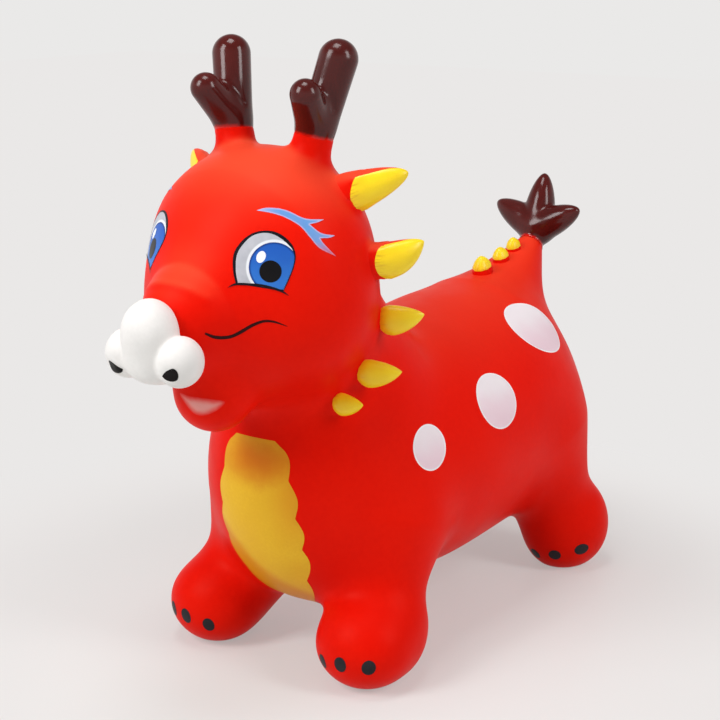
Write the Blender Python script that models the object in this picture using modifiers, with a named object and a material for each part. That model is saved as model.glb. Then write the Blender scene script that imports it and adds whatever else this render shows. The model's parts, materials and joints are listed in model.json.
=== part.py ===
"""Inflatable animal hopper: a hollow soft-PVC dragon calf that a child sits on and bounces.

The skin is drawn as a field of blended lumps (ellipsoids and tapered capsules), made a mesh, hollowed
and parted into body, head, legs and tail. Muzzle, antlers, tuft, spikes and the air valve sit on it.
All sizes are in metres. The animal faces -Y, its left side is +X, and its soles lie at Z = 0.
"""
import math

import bmesh
import bpy
from mathutils import Matrix, Vector
from mathutils.bvhtree import BVHTree

# Skin
WALL = 0.0020
GAP = 0.0003
SOLE_DEPTH = 0.0015
SKIN_VOXEL = 0.006
SKIN_FACES = 2800

# Main sizes: chest above the floor, chest to rump, and the skull's place ahead of and above the chest
CHEST_HEIGHT = 0.176
TRUNK_LENGTH = 0.232
SKULL_AHEAD = 0.079
SKULL_RISE = 0.211

# Body lumps: centre and radii
CHEST_CENTRE = Vector((0, 0, CHEST_HEIGHT))
CHEST_RADII = Vector((0.101, 0.104, 0.129))
BARREL_SHARE = 0.51
BARREL_DROP = 0.007
BARREL_CENTRE = CHEST_CENTRE + Vector((0, BARREL_SHARE * TRUNK_LENGTH, -BARREL_DROP))
BARREL_RADII = Vector((0.121, 0.192, 0.125))
RUMP_CENTRE = CHEST_CENTRE + Vector((0, TRUNK_LENGTH, 0))
RUMP_RADII = Vector((0.118, 0.150, 0.124))
BODY_BLEND = 0.050

# Legs, from the point on the floor under the lump that carries them; a hip is from the lump's centre
FRONT_HIP = Vector((0.066, 0.007, -0.047))
FRONT_HIP_RADIUS = 0.055
FRONT_FOOT = Vector((0.090, -0.022, 0))
FRONT_HEEL_RADII = Vector((0.036, 0.036, 0.044))
FRONT_TOE_RADII = Vector((0.044, 0.040, 0.039))
FRONT_TOE_AHEAD = 0.030
FRONT_ANKLE = Vector((0.074, -0.017, 0.060))
FRONT_ANKLE_RADIUS = 0.038
REAR_HIP = Vector((0.062, 0.041, -0.026))
REAR_HIP_RADIUS = 0.058
REAR_FOOT = Vector((0.092, 0.084, 0))
REAR_HEEL_RADII = Vector((0.040, 0.036, 0.046))
REAR_TOE_RADII = Vector((0.036, 0.035, 0.038))
REAR_TOE_AHEAD = 0.017
REAR_ANKLE = Vector((0.081, 0.066, 0.067))
REAR_ANKLE_RADIUS = 0.039
TOE_INSET = 0.004
LEG_BLEND = 0.045
FOOT_BLEND = 0.030
LEG_CUT_RADIUS = 0.080
LEG_CUT_HEIGHT = 0.030

# Neck and head: the head's lumps are placed from the skull's centre
NECK_BASE = Vector((0, 0.007, 0.084))
NECK_RADIUS = 0.079
SKULL_CENTRE = CHEST_CENTRE + Vector((0, -SKULL_AHEAD, SKULL_RISE))
SKULL_RADII = Vector((0.097, 0.085, 0.088))
NECK_TOP = Vector((0, 0.019, -0.048))
CHEEK_OFFSET = Vector((0, -0.007, -0.050))
CHEEK_RADII = Vector((0.100, 0.084, 0.071))
SNOUT_ROOT = Vector((0, -0.027, -0.026))
SNOUT_TIP = Vector((0, -0.091, -0.041))
SNOUT_ROOT_RADIUS = 0.079
SNOUT_TIP_RADIUS = 0.041
JAW_OFFSET = Vector((0, -0.065, -0.100))
JAW_RADII = Vector((0.036, 0.034, 0.042))
HEAD_BLEND = 0.045
JAW_BLEND = 0.030
NECK_CUT = Vector((0, 0.0185, -0.117))
NECK_CUT_TILT = math.radians(20)

# Muzzle at the snout's tip: a middle bulb, two nostril bulbs, the bed they stand on, and a rounded underside
NOSE_OFFSET = Vector((0, -0.051, -0.009))
NOSE_RADII = Vector((0.023, 0.024, 0.033))
BED_OFFSET = Vector((0, -0.034, -0.020))
BED_RADII = Vector((0.034, 0.022, 0.026))
UNDERSIDE_OFFSET = Vector((0, -0.047, -0.028))
UNDERSIDE_RADII = Vector((0.026, 0.022, 0.021))
NOSTRIL_OFFSET = Vector((0.026, -0.0465, -0.024))
NOSTRIL_RADII = Vector((0.0185, 0.0205, 0.0213))
MUZZLE_BLEND = 0.009
MUZZLE_VOXEL = 0.004
MUZZLE_FACES = 520

# Antlers: a red root on the skull, and a brown two-tined antler that flexes on the root's dome
ROOT_BASE = Vector((0.037, 0.010, 0.060))
ROOT_TOP = Vector((0.0415, 0.0155, 0.090))
ROOT_BASE_RADIUS = 0.019
ROOT_TOP_RADIUS = 0.0132
ROOT_BLEND = 0.024
ROOT_CUT_DEPTH = 0.002
ROOT_CUT_MARGIN = 0.005
DOME_DEPTH = 0.006
DOME_RINGS = 8
ANTLER_EDGE_RISE = 0.0035
TINE_TIP = Vector((0.0155, 0.0155, 0.0690))
TINE_TIP_RADIUS = 0.0162
BRANCH_ROOT = Vector((0.003, -0.002, 0.016))
BRANCH_TIP = Vector((0.0115, -0.0235, 0.043))
BRANCH_ROOT_RADIUS = 0.0146
BRANCH_TIP_RADIUS = 0.0126
TINE_BLEND = 0.011
ANTLER_VOXEL = 0.0035
ANTLER_FACES = 360

# Tail: a cone from the rump, and a tuft of lobes on its tip
TAIL_ROOT = Vector((0, 0.064, 0.077))
TAIL_ROOT_RADIUS = 0.058
TAIL_TIP = Vector((0, 0.149, 0.150))
TAIL_TIP_RADIUS = 0.011
TAIL_BLEND = 0.050
TAIL_CUT_SHARE = 0.42
TUFT_EDGE_SHARE = 0.95
TUFT_STEM_SHARE = 0.75
TUFT_HEART = Vector((0, 0.009, 0.013))
TUFT_TOP_TIP = Vector((0, 0.021, 0.065))
TUFT_SIDE_TIP = Vector((0.046, 0.009, 0.035))
TUFT_HEART_RADIUS = 0.0180
TUFT_LOBE_RADIUS = 0.0145
TUFT_LOBE_SHARE = 0.50
TUFT_TIP_RADIUS = 0.0045
TUFT_BLEND = 0.010
TUFT_VOXEL = 0.0035
TUFT_FACES = 440

# Mane spikes down each side of the head: root seen from the skull's centre, lean and size
SPIKE_SIDES = 12
SPIKE_RINGS = 5
SPIKE_SINK = 0.010
SPIKE_FLATNESS = 0.75
SPIKE_BULGE = 1.8
SPIKE_POINT = 0.65
MANE = (
    # azimuth from +X towards +Y, elevation, (lean x, y, z), length, root radius
    (14.6, 33.2, (0.784, 0.517, 0.347), 0.052, 0.0180),
    (14.0, -1.7, (0.709, 0.620, 0.336), 0.046, 0.0165),
    (31.0, -31.4, (0.880, 0.441, 0.175), 0.039, 0.0140),
    (20.0, -50.6, (0.932, 0.351, 0.090), 0.038, 0.0130),
    (11.5, -62.4, (0.994, 0.078, 0.075), 0.028, 0.0105),
)
# Tail spikes down the front of the tail: share of the way from root to tip, height and root radius
TAIL_SPIKES = (
    (0.20, 0.016, 0.0115),
    (0.49, 0.0145, 0.0095),
    (0.71, 0.0125, 0.0082),
)
TAIL_SPIKE_LEAN = Vector((0, -0.25, 0.97))
TAIL_SPIKE_FLATNESS = 0.60

# Air valve in the belly: a collar bonded into the skin and a push-in plug
VALVE_AHEAD = 0.016
VALVE_PROUD = 0.0008
FLANGE_RADIUS = 0.016
FLANGE_THICKNESS = 0.0040
SLEEVE_RADIUS = 0.0085
SLEEVE_LENGTH = 0.014
BORE_RADIUS = 0.0055
PLUG_HEAD_RADIUS = 0.0105
PLUG_HEAD_THICKNESS = 0.0030
PLUG_LENGTH = 0.016
PLUG_CHAMFER = 0.0012
TURNED_STEPS = 28

# Colours in sRGB, 0 to 255
RED = (226, 34, 22)
WHITE = (240, 237, 234)
BROWN = (80, 32, 27)
YELLOW = (240, 206, 40)
CLEAR_GREY = (206, 205, 200)

# Roughness of each surface
SATIN = 0.45
MATT = 0.50
GLOSS = 0.25

# How the meshes are made
FAR = 1.0
BOX_MARGIN_VOXELS = 3
BALL_SUBDIVISIONS = 3
MERGE_DISTANCE = 0.00001
SHARP_ANGLE = math.radians(40)


def clear_scene():
    for item in list(bpy.data.objects):
        bpy.data.objects.remove(item, do_unlink=True)


def new_collection(name):
    collection = bpy.data.collections.new(name)
    bpy.context.scene.collection.children.link(collection)
    return collection


def linear(channel):
    value = channel / 255
    return value / 12.92 if value <= 0.04045 else ((value + 0.055) / 1.055) ** 2.4


def make_material(name, colour, roughness):
    material = bpy.data.materials.new(name)
    material.use_nodes = True
    shader = material.node_tree.nodes["Principled BSDF"]
    shader.inputs["Base Color"].default_value = (*[linear(c) for c in colour], 1)
    shader.inputs["Roughness"].default_value = roughness
    shader.inputs["Metallic"].default_value = 0
    return material


def flipped(point, flip):
    """The point itself where flip is 1, and its mirror image on the animal's right where it is -1."""
    return Vector((point.x * flip, point.y, point.z))


def mirrored(point):
    return flipped(point, -1)


# Lumps: each is a kind, its numbers and the width over which it blends into the ones before it
def ellipsoid(centre, radii, blend):
    return ("ellipsoid", centre, radii, blend)


def capsule(start, end, start_radius, end_radius, blend):
    return ("capsule", start, end, start_radius, end_radius, blend)


def both_sides(lump):
    if lump[0] == "ellipsoid":
        return [lump, ellipsoid(mirrored(lump[1]), lump[2], lump[3])]
    return [lump, capsule(mirrored(lump[1]), mirrored(lump[2]), *lump[3:])]


def lump_box(lumps, margin):
    """Lowest and highest corner of the space that the lumps take up."""
    corners = []
    for lump in lumps:
        if lump[0] == "ellipsoid":
            corners += [lump[1] - lump[2], lump[1] + lump[2]]
        else:
            for point, radius in ((lump[1], lump[3]), (lump[2], lump[4])):
                reach = Vector((radius, radius, radius))
                corners += [point - reach, point + reach]
    low = Vector([min(c[i] for c in corners) - margin for i in range(3)])
    high = Vector([max(c[i] for c in corners) + margin for i in range(3)])
    return low, high


class FieldTree:
    """Geometry nodes that turn lumps into the surface where their blended distance is zero."""

    def __init__(self, name):
        self.tree = bpy.data.node_groups.new(name, "GeometryNodeTree")
        self.tree.interface.new_socket("Geometry", in_out="OUTPUT", socket_type="NodeSocketGeometry")
        self.position = self.tree.nodes.new("GeometryNodeInputPosition").outputs[0]

    def feed(self, socket, value):
        if isinstance(value, bpy.types.NodeSocket):
            self.tree.links.new(value, socket)
        else:
            socket.default_value = value

    def math(self, operation, *values, clamp=False):
        node = self.tree.nodes.new("ShaderNodeMath")
        node.operation = operation
        node.use_clamp = clamp
        for socket, value in zip(node.inputs, values):
            self.feed(socket, value)
        return node.outputs[0]

    def vector(self, operation, first, second=None, scale=None):
        node = self.tree.nodes.new("ShaderNodeVectorMath")
        node.operation = operation
        self.feed(node.inputs[0], first)
        if second is not None:
            self.feed(node.inputs[1], second)
        if scale is not None:
            self.feed(node.inputs["Scale"], scale)
        return node.outputs["Value" if operation in {"LENGTH", "DOT_PRODUCT"} else "Vector"]

    def ellipsoid(self, centre, radii):
        scaled = self.vector("DIVIDE", self.vector("SUBTRACT", self.position, centre), radii)
        reach = self.vector("LENGTH", scaled)
        slope = self.vector("LENGTH", self.vector("DIVIDE", scaled, radii))
        return self.math("DIVIDE", self.math("MULTIPLY", reach, self.math("SUBTRACT", reach, 1.0)), slope)

    def capsule(self, start, end, start_radius, end_radius):
        axis = end - start
        along = self.vector("DOT_PRODUCT", self.vector("SUBTRACT", self.position, start), axis)
        share = self.math("DIVIDE", along, axis.length_squared, clamp=True)
        nearest = self.vector("ADD", self.vector("SCALE", axis, scale=share), start)
        distance = self.vector("LENGTH", self.vector("SUBTRACT", self.position, nearest))
        radius = self.math("MULTIPLY_ADD", share, end_radius - start_radius, start_radius)
        return self.math("SUBTRACT", distance, radius)

    def surface(self, lumps, voxel):
        total = None
        for kind, *sizes, blend in lumps:
            distance = getattr(self, kind)(*sizes)
            total = distance if total is None else self.math("SMOOTH_MIN", total, distance, blend)
        low, high = lump_box(lumps, BOX_MARGIN_VOXELS * voxel)
        cube = self.tree.nodes.new("GeometryNodeVolumeCube")
        self.feed(cube.inputs["Density"], self.math("MULTIPLY", total, -1.0))
        self.feed(cube.inputs["Background"], -FAR)
        self.feed(cube.inputs["Min"], low)
        self.feed(cube.inputs["Max"], high)
        for axis, size in zip("XYZ", high - low):
            self.feed(cube.inputs["Resolution " + axis], math.ceil(size / voxel) + 1)
        mesher = self.tree.nodes.new("GeometryNodeVolumeToMesh")
        self.feed(mesher.inputs["Volume"], cube.outputs[0])
        self.feed(mesher.inputs["Threshold"], 0.0)
        output = self.tree.nodes.new("NodeGroupOutput")
        self.feed(output.inputs[0], mesher.outputs[0])
        return self.tree


def baked(item):
    """The object with its modifiers made part of its mesh."""
    graph = bpy.context.evaluated_depsgraph_get()
    mesh = bpy.data.meshes.new_from_object(item.evaluated_get(graph), depsgraph=graph)
    item.modifiers.clear()
    item.data = mesh
    return item


def new_object(name, mesh, collection):
    item = bpy.data.objects.new(name, mesh)
    collection.objects.link(item)
    return item


def lump_surface(name, lumps, voxel, faces, collection):
    """A closed surface round the lumps, thinned to about the given number of triangles."""
    item = new_object(name, bpy.data.meshes.new(name), collection)
    nodes = item.modifiers.new("lumps", "NODES")
    nodes.node_group = FieldTree(name).surface(lumps, voxel)
    baked(item)
    thin = item.modifiers.new("thin", "DECIMATE")
    thin.ratio = min(1.0, faces / (2 * len(item.data.polygons)))
    thin.use_collapse_triangulate = True
    return baked(item)


def cut(item, operation, cutter):
    boolean = item.modifiers.new(operation.lower(), "BOOLEAN")
    boolean.operation = operation
    boolean.solver = "EXACT"
    boolean.object = cutter


def as_cutter(item):
    item.hide_render = True
    item.display_type = "WIRE"
    return item


def cut_flat(shape, height):
    """Take away what lies below the height, and close each hole with one flat face."""
    everything = shape.verts[:] + shape.edges[:] + shape.faces[:]
    result = bmesh.ops.bisect_plane(
        shape, geom=everything, plane_co=(0, 0, height), plane_no=(0, 0, 1), clear_inner=True)
    rim = [edge for edge in result["geom_cut"] if isinstance(edge, bmesh.types.BMEdge)]
    bmesh.ops.edgeloop_fill(shape, edges=rim)
    bmesh.ops.recalc_face_normals(shape, faces=shape.faces)


def ball_cutter(name, centre, radius, collection):
    shape = bmesh.new()
    bmesh.ops.create_icosphere(shape, subdivisions=BALL_SUBDIVISIONS, radius=radius)
    mesh = bpy.data.meshes.new(name)
    shape.to_mesh(mesh)
    shape.free()
    item = as_cutter(new_object(name, mesh, collection))
    item.location = centre
    return item


def cap_cutter(name, centre, way, radius, depth, collection):
    """A ball cut off flat, the given depth behind its centre; way points from the flat to the round side."""
    shape = bmesh.new()
    bmesh.ops.create_icosphere(shape, subdivisions=BALL_SUBDIVISIONS, radius=radius)
    cut_flat(shape, -depth)
    mesh = bpy.data.meshes.new(name)
    shape.to_mesh(mesh)
    shape.free()
    item = as_cutter(new_object(name, mesh, collection))
    item.rotation_euler = way.to_track_quat("Z", "Y").to_euler()
    item.location = centre
    return item


def half_space_cutter(name, point, normal, collection):
    """A large cube whose one face goes through the point and which lies on the normal's side."""
    shape = bmesh.new()
    bmesh.ops.create_cube(shape, size=FAR)
    bmesh.ops.translate(shape, verts=shape.verts, vec=(0, 0, FAR / 2))
    mesh = bpy.data.meshes.new(name)
    shape.to_mesh(mesh)
    shape.free()
    item = as_cutter(new_object(name, mesh, collection))
    item.rotation_euler = Vector(normal).to_track_quat("Z", "Y").to_euler()
    item.location = point
    return item


def turned(name, profile, steps, collection):
    """A profile of (radius, height) points turned about Z; its outer side runs from top to bottom."""
    points = [(radius, 0, height) for radius, height in profile]
    closed = profile[0][0] > 0
    edges = [(i, i + 1) for i in range(len(points) - 1)]
    if closed:
        edges.append((len(points) - 1, 0))
    mesh = bpy.data.meshes.new(name)
    mesh.from_pydata(points, edges, [])
    item = new_object(name, mesh, collection)
    screw = item.modifiers.new("turn", "SCREW")
    screw.steps = steps
    screw.render_steps = steps
    screw.use_merge_vertices = True
    screw.merge_threshold = MERGE_DISTANCE
    return item


def shade(item, material):
    """Material and smooth shading; the object's own mesh carries both."""
    item.data.materials.clear()
    item.data.materials.append(material)
    item.data.shade_smooth()
    item.data.set_sharp_from_angle(angle=SHARP_ANGLE)


# Skin
def on_floor(centre, offset):
    """A point given from the floor under a lump's centre."""
    return Vector((offset.x, centre.y + offset.y, offset.z))


def foot_lumps(foot, heel_radii, toe_radii, toe_ahead):
    heel = Vector((foot.x, foot.y, heel_radii.z - SOLE_DEPTH))
    toe = Vector((foot.x - TOE_INSET, foot.y - toe_ahead, toe_radii.z - SOLE_DEPTH))
    return [ellipsoid(heel, heel_radii, FOOT_BLEND), ellipsoid(toe, toe_radii, FOOT_BLEND)]


def skin_lumps():
    skull = SKULL_CENTRE
    front_ankle = on_floor(CHEST_CENTRE, FRONT_ANKLE)
    rear_ankle = on_floor(RUMP_CENTRE, REAR_ANKLE)
    middle = [
        ellipsoid(CHEST_CENTRE, CHEST_RADII, BODY_BLEND),
        ellipsoid(BARREL_CENTRE, BARREL_RADII, BODY_BLEND),
        ellipsoid(RUMP_CENTRE, RUMP_RADII, BODY_BLEND),
        capsule(CHEST_CENTRE + NECK_BASE, skull + NECK_TOP, NECK_RADIUS, NECK_RADIUS, BODY_BLEND),
        ellipsoid(skull, SKULL_RADII, HEAD_BLEND),
        ellipsoid(skull + CHEEK_OFFSET, CHEEK_RADII, HEAD_BLEND),
        capsule(skull + SNOUT_ROOT, skull + SNOUT_TIP, SNOUT_ROOT_RADIUS, SNOUT_TIP_RADIUS, BODY_BLEND),
        ellipsoid(skull + JAW_OFFSET, JAW_RADII, JAW_BLEND),
        tail_lump(0, TAIL_BLEND),
    ]
    paired = [
        capsule(CHEST_CENTRE + FRONT_HIP, front_ankle, FRONT_HIP_RADIUS, FRONT_ANKLE_RADIUS, LEG_BLEND),
        capsule(RUMP_CENTRE + REAR_HIP, rear_ankle, REAR_HIP_RADIUS, REAR_ANKLE_RADIUS, LEG_BLEND),
        *foot_lumps(on_floor(CHEST_CENTRE, FRONT_FOOT), FRONT_HEEL_RADII, FRONT_TOE_RADII, FRONT_TOE_AHEAD),
        *foot_lumps(on_floor(RUMP_CENTRE, REAR_FOOT), REAR_HEEL_RADII, REAR_TOE_RADII, REAR_TOE_AHEAD),
        capsule(skull + ROOT_BASE, skull + ROOT_TOP, ROOT_BASE_RADIUS, ROOT_TOP_RADIUS, ROOT_BLEND),
    ]
    return middle + [lump for pair in paired for lump in both_sides(pair)]


def tail_point(share):
    """A point on the tail's axis, from its root at 0 to the centre of its tip at 1."""
    return RUMP_CENTRE + TAIL_ROOT.lerp(TAIL_TIP, share)


def tail_way():
    return (TAIL_TIP - TAIL_ROOT).normalized()


def tail_lump(from_share, blend):
    start_radius = TAIL_ROOT_RADIUS + (TAIL_TIP_RADIUS - TAIL_ROOT_RADIUS) * from_share
    return capsule(tail_point(from_share), tail_point(1), start_radius, TAIL_TIP_RADIUS, blend)


def flatten_soles(item):
    """Cut the surface off at the floor and close each foot with one flat face."""
    shape = bmesh.new()
    shape.from_mesh(item.data)
    cut_flat(shape, 0)
    shape.to_mesh(item.data)
    shape.free()


def hollow(item):
    shell = item.modifiers.new("wall", "SOLIDIFY")
    shell.thickness = WALL
    shell.offset = -1
    shell.use_quality_normals = True
    return baked(item)


class Skin:
    """The outer surface, the hollow shell under it and a cutter that clears it by the gap."""

    def __init__(self, cutters):
        outer = lump_surface("skin_outer", skin_lumps(), SKIN_VOXEL, SKIN_FACES, cutters)
        flatten_soles(outer)
        self.clearance = as_cutter(new_object("skin_clearance", outer.data.copy(), cutters))
        swell = self.clearance.modifiers.new("swell", "DISPLACE")
        swell.strength = GAP
        swell.mid_level = 0
        baked(self.clearance)
        self.tree = BVHTree.FromPolygons(
            [v.co.copy() for v in outer.data.vertices], [tuple(p.vertices) for p in outer.data.polygons])
        self.shell = as_cutter(hollow(outer))

    def seat(self, start, direction):
        """Where a ray that comes in from outside along -direction towards start meets the skin."""
        way = Vector(direction).normalized()
        point, _, _, _ = self.tree.ray_cast(start + way * FAR, -way)
        return point

    def section(self, name, collection):
        return new_object(name, self.shell.data.copy(), collection)


def make_skin(parts, cutters, material):
    """Body, head, tail and four legs, parted from one hollow skin."""
    skin = Skin(cutters)
    body = skin.section("body", parts)

    def part_off(name, keep, remove):
        piece = skin.section(name, parts)
        cut(piece, "INTERSECT", keep)
        cut(body, "DIFFERENCE", remove)
        shade(piece, material)
        return piece

    def part_off_plane(name, point, normal):
        keep = half_space_cutter(name + "_side", point, normal, cutters)
        remove = half_space_cutter(name + "_side_clear", point - normal * GAP, normal, cutters)
        return part_off(name, keep, remove)

    neck_normal = Vector((0, -math.sin(NECK_CUT_TILT), math.cos(NECK_CUT_TILT)))
    head = part_off_plane("head", SKULL_CENTRE + NECK_CUT, neck_normal)
    for side, flip in (("left", 1), ("right", -1)):
        top, way = antler_seat(flip)
        cut_radius = ROOT_TOP_RADIUS + ROOT_CUT_MARGIN
        cut(head, "DIFFERENCE", cap_cutter(f"root_{side}_top", top, way, cut_radius, ROOT_CUT_DEPTH, cutters))
        cut(head, "UNION", dome_cutter(f"root_{side}_dome", top, way, cutters))
    tail = part_off_plane("tail", tail_point(TAIL_CUT_SHARE), tail_way())
    cut(tail, "DIFFERENCE", half_space_cutter("tuft_side", tail_point(TUFT_EDGE_SHARE), tail_way(), cutters))
    feet = (("front", on_floor(CHEST_CENTRE, FRONT_FOOT)), ("rear", on_floor(RUMP_CENTRE, REAR_FOOT)))
    for end, foot in feet:
        for side, flip in (("left", 1), ("right", -1)):
            centre = Vector((foot.x * flip, foot.y, LEG_CUT_HEIGHT))
            name = f"{end}_{side}_leg"
            keep = ball_cutter(name + "_ball", centre, LEG_CUT_RADIUS, cutters)
            remove = ball_cutter(name + "_ball_clear", centre, LEG_CUT_RADIUS + GAP, cutters)
            part_off(name, keep, remove)
    shade(body, material)
    return skin, body


def antler_seat(flip):
    """Centre of the dome on an antler's root, and the root's direction."""
    return SKULL_CENTRE + flipped(ROOT_TOP, flip), flipped(ROOT_TOP - ROOT_BASE, flip).normalized()


def dome_cutter(name, centre, way, collection):
    """The round end of an antler's root, with a stub that goes down into the root's wall."""
    profile = []
    for ring in range(DOME_RINGS + 1):
        angle = math.pi / 2 * ring / DOME_RINGS
        profile.append((ROOT_TOP_RADIUS * math.sin(angle), ROOT_TOP_RADIUS * math.cos(angle)))
    profile += [(ROOT_TOP_RADIUS, -DOME_DEPTH), (0, -DOME_DEPTH)]
    dome = as_cutter(turned(name, profile, TURNED_STEPS, collection))
    dome.rotation_euler = way.to_track_quat("Z", "Y").to_euler()
    dome.location = centre
    return dome


# Pieces seated on the skin
def make_muzzle(skin, parts, material):
    tip = SKULL_CENTRE + SNOUT_TIP
    lumps = [
        ellipsoid(tip + NOSE_OFFSET, NOSE_RADII, MUZZLE_BLEND),
        ellipsoid(tip + BED_OFFSET, BED_RADII, MUZZLE_BLEND),
        ellipsoid(tip + UNDERSIDE_OFFSET, UNDERSIDE_RADII, MUZZLE_BLEND),
    ]
    lumps += both_sides(ellipsoid(tip + NOSTRIL_OFFSET, NOSTRIL_RADII, MUZZLE_BLEND))
    muzzle = hollow(lump_surface("muzzle", lumps, MUZZLE_VOXEL, MUZZLE_FACES, parts))
    cut(muzzle, "DIFFERENCE", skin.clearance)
    shade(muzzle, material)


def make_antler(side, flip, parts, cutters, material):
    """A hollow antler over the root's dome; its origin is the dome's centre, about which it flexes."""
    centre, root_way = antler_seat(flip)
    seat_radius = ROOT_TOP_RADIUS + GAP
    lumps = [
        capsule(centre, centre + flipped(TINE_TIP, flip), seat_radius + WALL, TINE_TIP_RADIUS, TINE_BLEND),
        capsule(centre + flipped(BRANCH_ROOT, flip), centre + flipped(BRANCH_TIP, flip),
                BRANCH_ROOT_RADIUS, BRANCH_TIP_RADIUS, TINE_BLEND),
    ]
    name = f"antler_{side}"
    antler = hollow(lump_surface(name, lumps, ANTLER_VOXEL, ANTLER_FACES, parts))
    antler.data.transform(Matrix.Translation(-centre))
    antler.location = centre
    cut(antler, "DIFFERENCE", ball_cutter(name + "_seat", centre, seat_radius, cutters))
    edge = centre + root_way * ANTLER_EDGE_RISE
    cut(antler, "DIFFERENCE", half_space_cutter(name + "_edge", edge, -root_way, cutters))
    shade(antler, material)


def make_tuft(parts, cutters, material):
    """A hollow three-lobed tuft that carries the tail's cone on from a flat edge."""
    tip = tail_point(1)
    heart = tip + TUFT_HEART
    lumps = [tail_lump(TUFT_STEM_SHARE, TUFT_BLEND)]
    for lobe_tip in (TUFT_TOP_TIP, TUFT_SIDE_TIP, mirrored(TUFT_SIDE_TIP)):
        belly = heart.lerp(tip + lobe_tip, TUFT_LOBE_SHARE)
        lumps.append(capsule(heart, belly, TUFT_HEART_RADIUS, TUFT_LOBE_RADIUS, TUFT_BLEND))
        lumps.append(capsule(belly, tip + lobe_tip, TUFT_LOBE_RADIUS, TUFT_TIP_RADIUS, TUFT_BLEND))
    tuft = hollow(lump_surface("tail_tuft", lumps, TUFT_VOXEL, TUFT_FACES, parts))
    edge = tail_point(TUFT_EDGE_SHARE) + tail_way() * GAP
    cut(tuft, "DIFFERENCE", half_space_cutter("tail_side_of_tuft", edge, -tail_way(), cutters))
    shade(tuft, material)


def make_spike(name, seat, lean, length, radius, flatness, skin, parts, material):
    """A horn on the skin that points along its lean, flattened in the level direction across it."""
    profile = []
    for ring in range(SPIKE_RINGS + 1):
        share = 1 - ring / SPIKE_RINGS
        profile.append((radius * (1 - share ** SPIKE_BULGE) ** SPIKE_POINT, length * share))
    profile += [(radius, -SPIKE_SINK), (0, -SPIKE_SINK)]
    spike = turned(name, profile, SPIKE_SIDES, parts)
    baked(spike)
    spike.data.transform(Matrix.Diagonal((flatness, 1, 1, 1)))
    along = lean.normalized()
    across = Vector((along.y, -along.x, 0))
    across.normalize()
    frame = Matrix((across, along.cross(across), along)).transposed()
    spike.matrix_world = Matrix.Translation(seat) @ frame.to_4x4()
    cut(spike, "DIFFERENCE", skin.clearance)
    shade(spike, material)


def make_mane(skin, parts, material):
    for number, (azimuth, elevation, lean, length, radius) in enumerate(MANE, start=1):
        turn, rise = math.radians(azimuth), math.radians(elevation)
        outward = Vector((math.cos(rise) * math.cos(turn), math.cos(rise) * math.sin(turn), math.sin(rise)))
        for side, flip in (("left", 1), ("right", -1)):
            seat = skin.seat(SKULL_CENTRE, flipped(outward, flip))
            lean_way = flipped(Vector(lean), flip)
            name = f"mane_spike_{side}_{number}"
            make_spike(name, seat, lean_way, length, radius, SPIKE_FLATNESS, skin, parts, material)


def make_tail_spikes(skin, parts, material):
    axis = tail_way()
    front = Vector((0, -axis.z, axis.y))
    for number, (share, length, radius) in enumerate(TAIL_SPIKES, start=1):
        seat = skin.seat(tail_point(share), front)
        name = f"tail_spike_{number}"
        make_spike(name, seat, TAIL_SPIKE_LEAN, length, radius, TAIL_SPIKE_FLATNESS, skin, parts, material)


# Air valve
def make_valve(skin, body, parts, cutters, material):
    """A collar that fills a round hole in the belly, and a plug in its bore; the plug draws out downwards."""
    belly = skin.seat(BARREL_CENTRE - Vector((0, VALVE_AHEAD, 0)), (0, 0, -1))
    face = belly - Vector((0, 0, VALVE_PROUD))
    hole = FLANGE_RADIUS + GAP
    hole_profile = [(0, SLEEVE_LENGTH), (hole, SLEEVE_LENGTH), (hole, -SLEEVE_LENGTH), (0, -SLEEVE_LENGTH)]
    hole_cutter = as_cutter(turned("valve_hole", hole_profile, TURNED_STEPS, cutters))
    hole_cutter.location = face
    cut(body, "DIFFERENCE", hole_cutter)

    collar = turned("valve_collar", [
        (FLANGE_RADIUS, FLANGE_THICKNESS), (FLANGE_RADIUS, 0), (BORE_RADIUS, 0), (BORE_RADIUS, SLEEVE_LENGTH),
        (SLEEVE_RADIUS, SLEEVE_LENGTH), (SLEEVE_RADIUS, FLANGE_THICKNESS)], TURNED_STEPS, parts)
    shank = BORE_RADIUS - GAP
    head_low = -GAP - PLUG_HEAD_THICKNESS
    plug = turned("valve_plug", [
        (0, PLUG_LENGTH), (shank - PLUG_CHAMFER, PLUG_LENGTH), (shank, PLUG_LENGTH - PLUG_CHAMFER),
        (shank, -GAP), (PLUG_HEAD_RADIUS, -GAP), (PLUG_HEAD_RADIUS, head_low), (0, head_low),
    ], TURNED_STEPS, parts)
    for item in (collar, plug):
        item.location = face
        shade(item, material)


def stand_on_origin(parts):
    """Carry every piece on one empty that puts the model's bottom centre at the origin."""
    bpy.context.view_layer.update()
    graph = bpy.context.evaluated_depsgraph_get()
    reach = [(item.matrix_world @ Vector(corner)).y
             for item in parts.objects for corner in item.evaluated_get(graph).bound_box]
    carrier = bpy.data.objects.new("animal_hopper_frame", None)
    parts.objects.link(carrier)
    carrier.location.y = -(min(reach) + max(reach)) / 2
    return carrier


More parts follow.
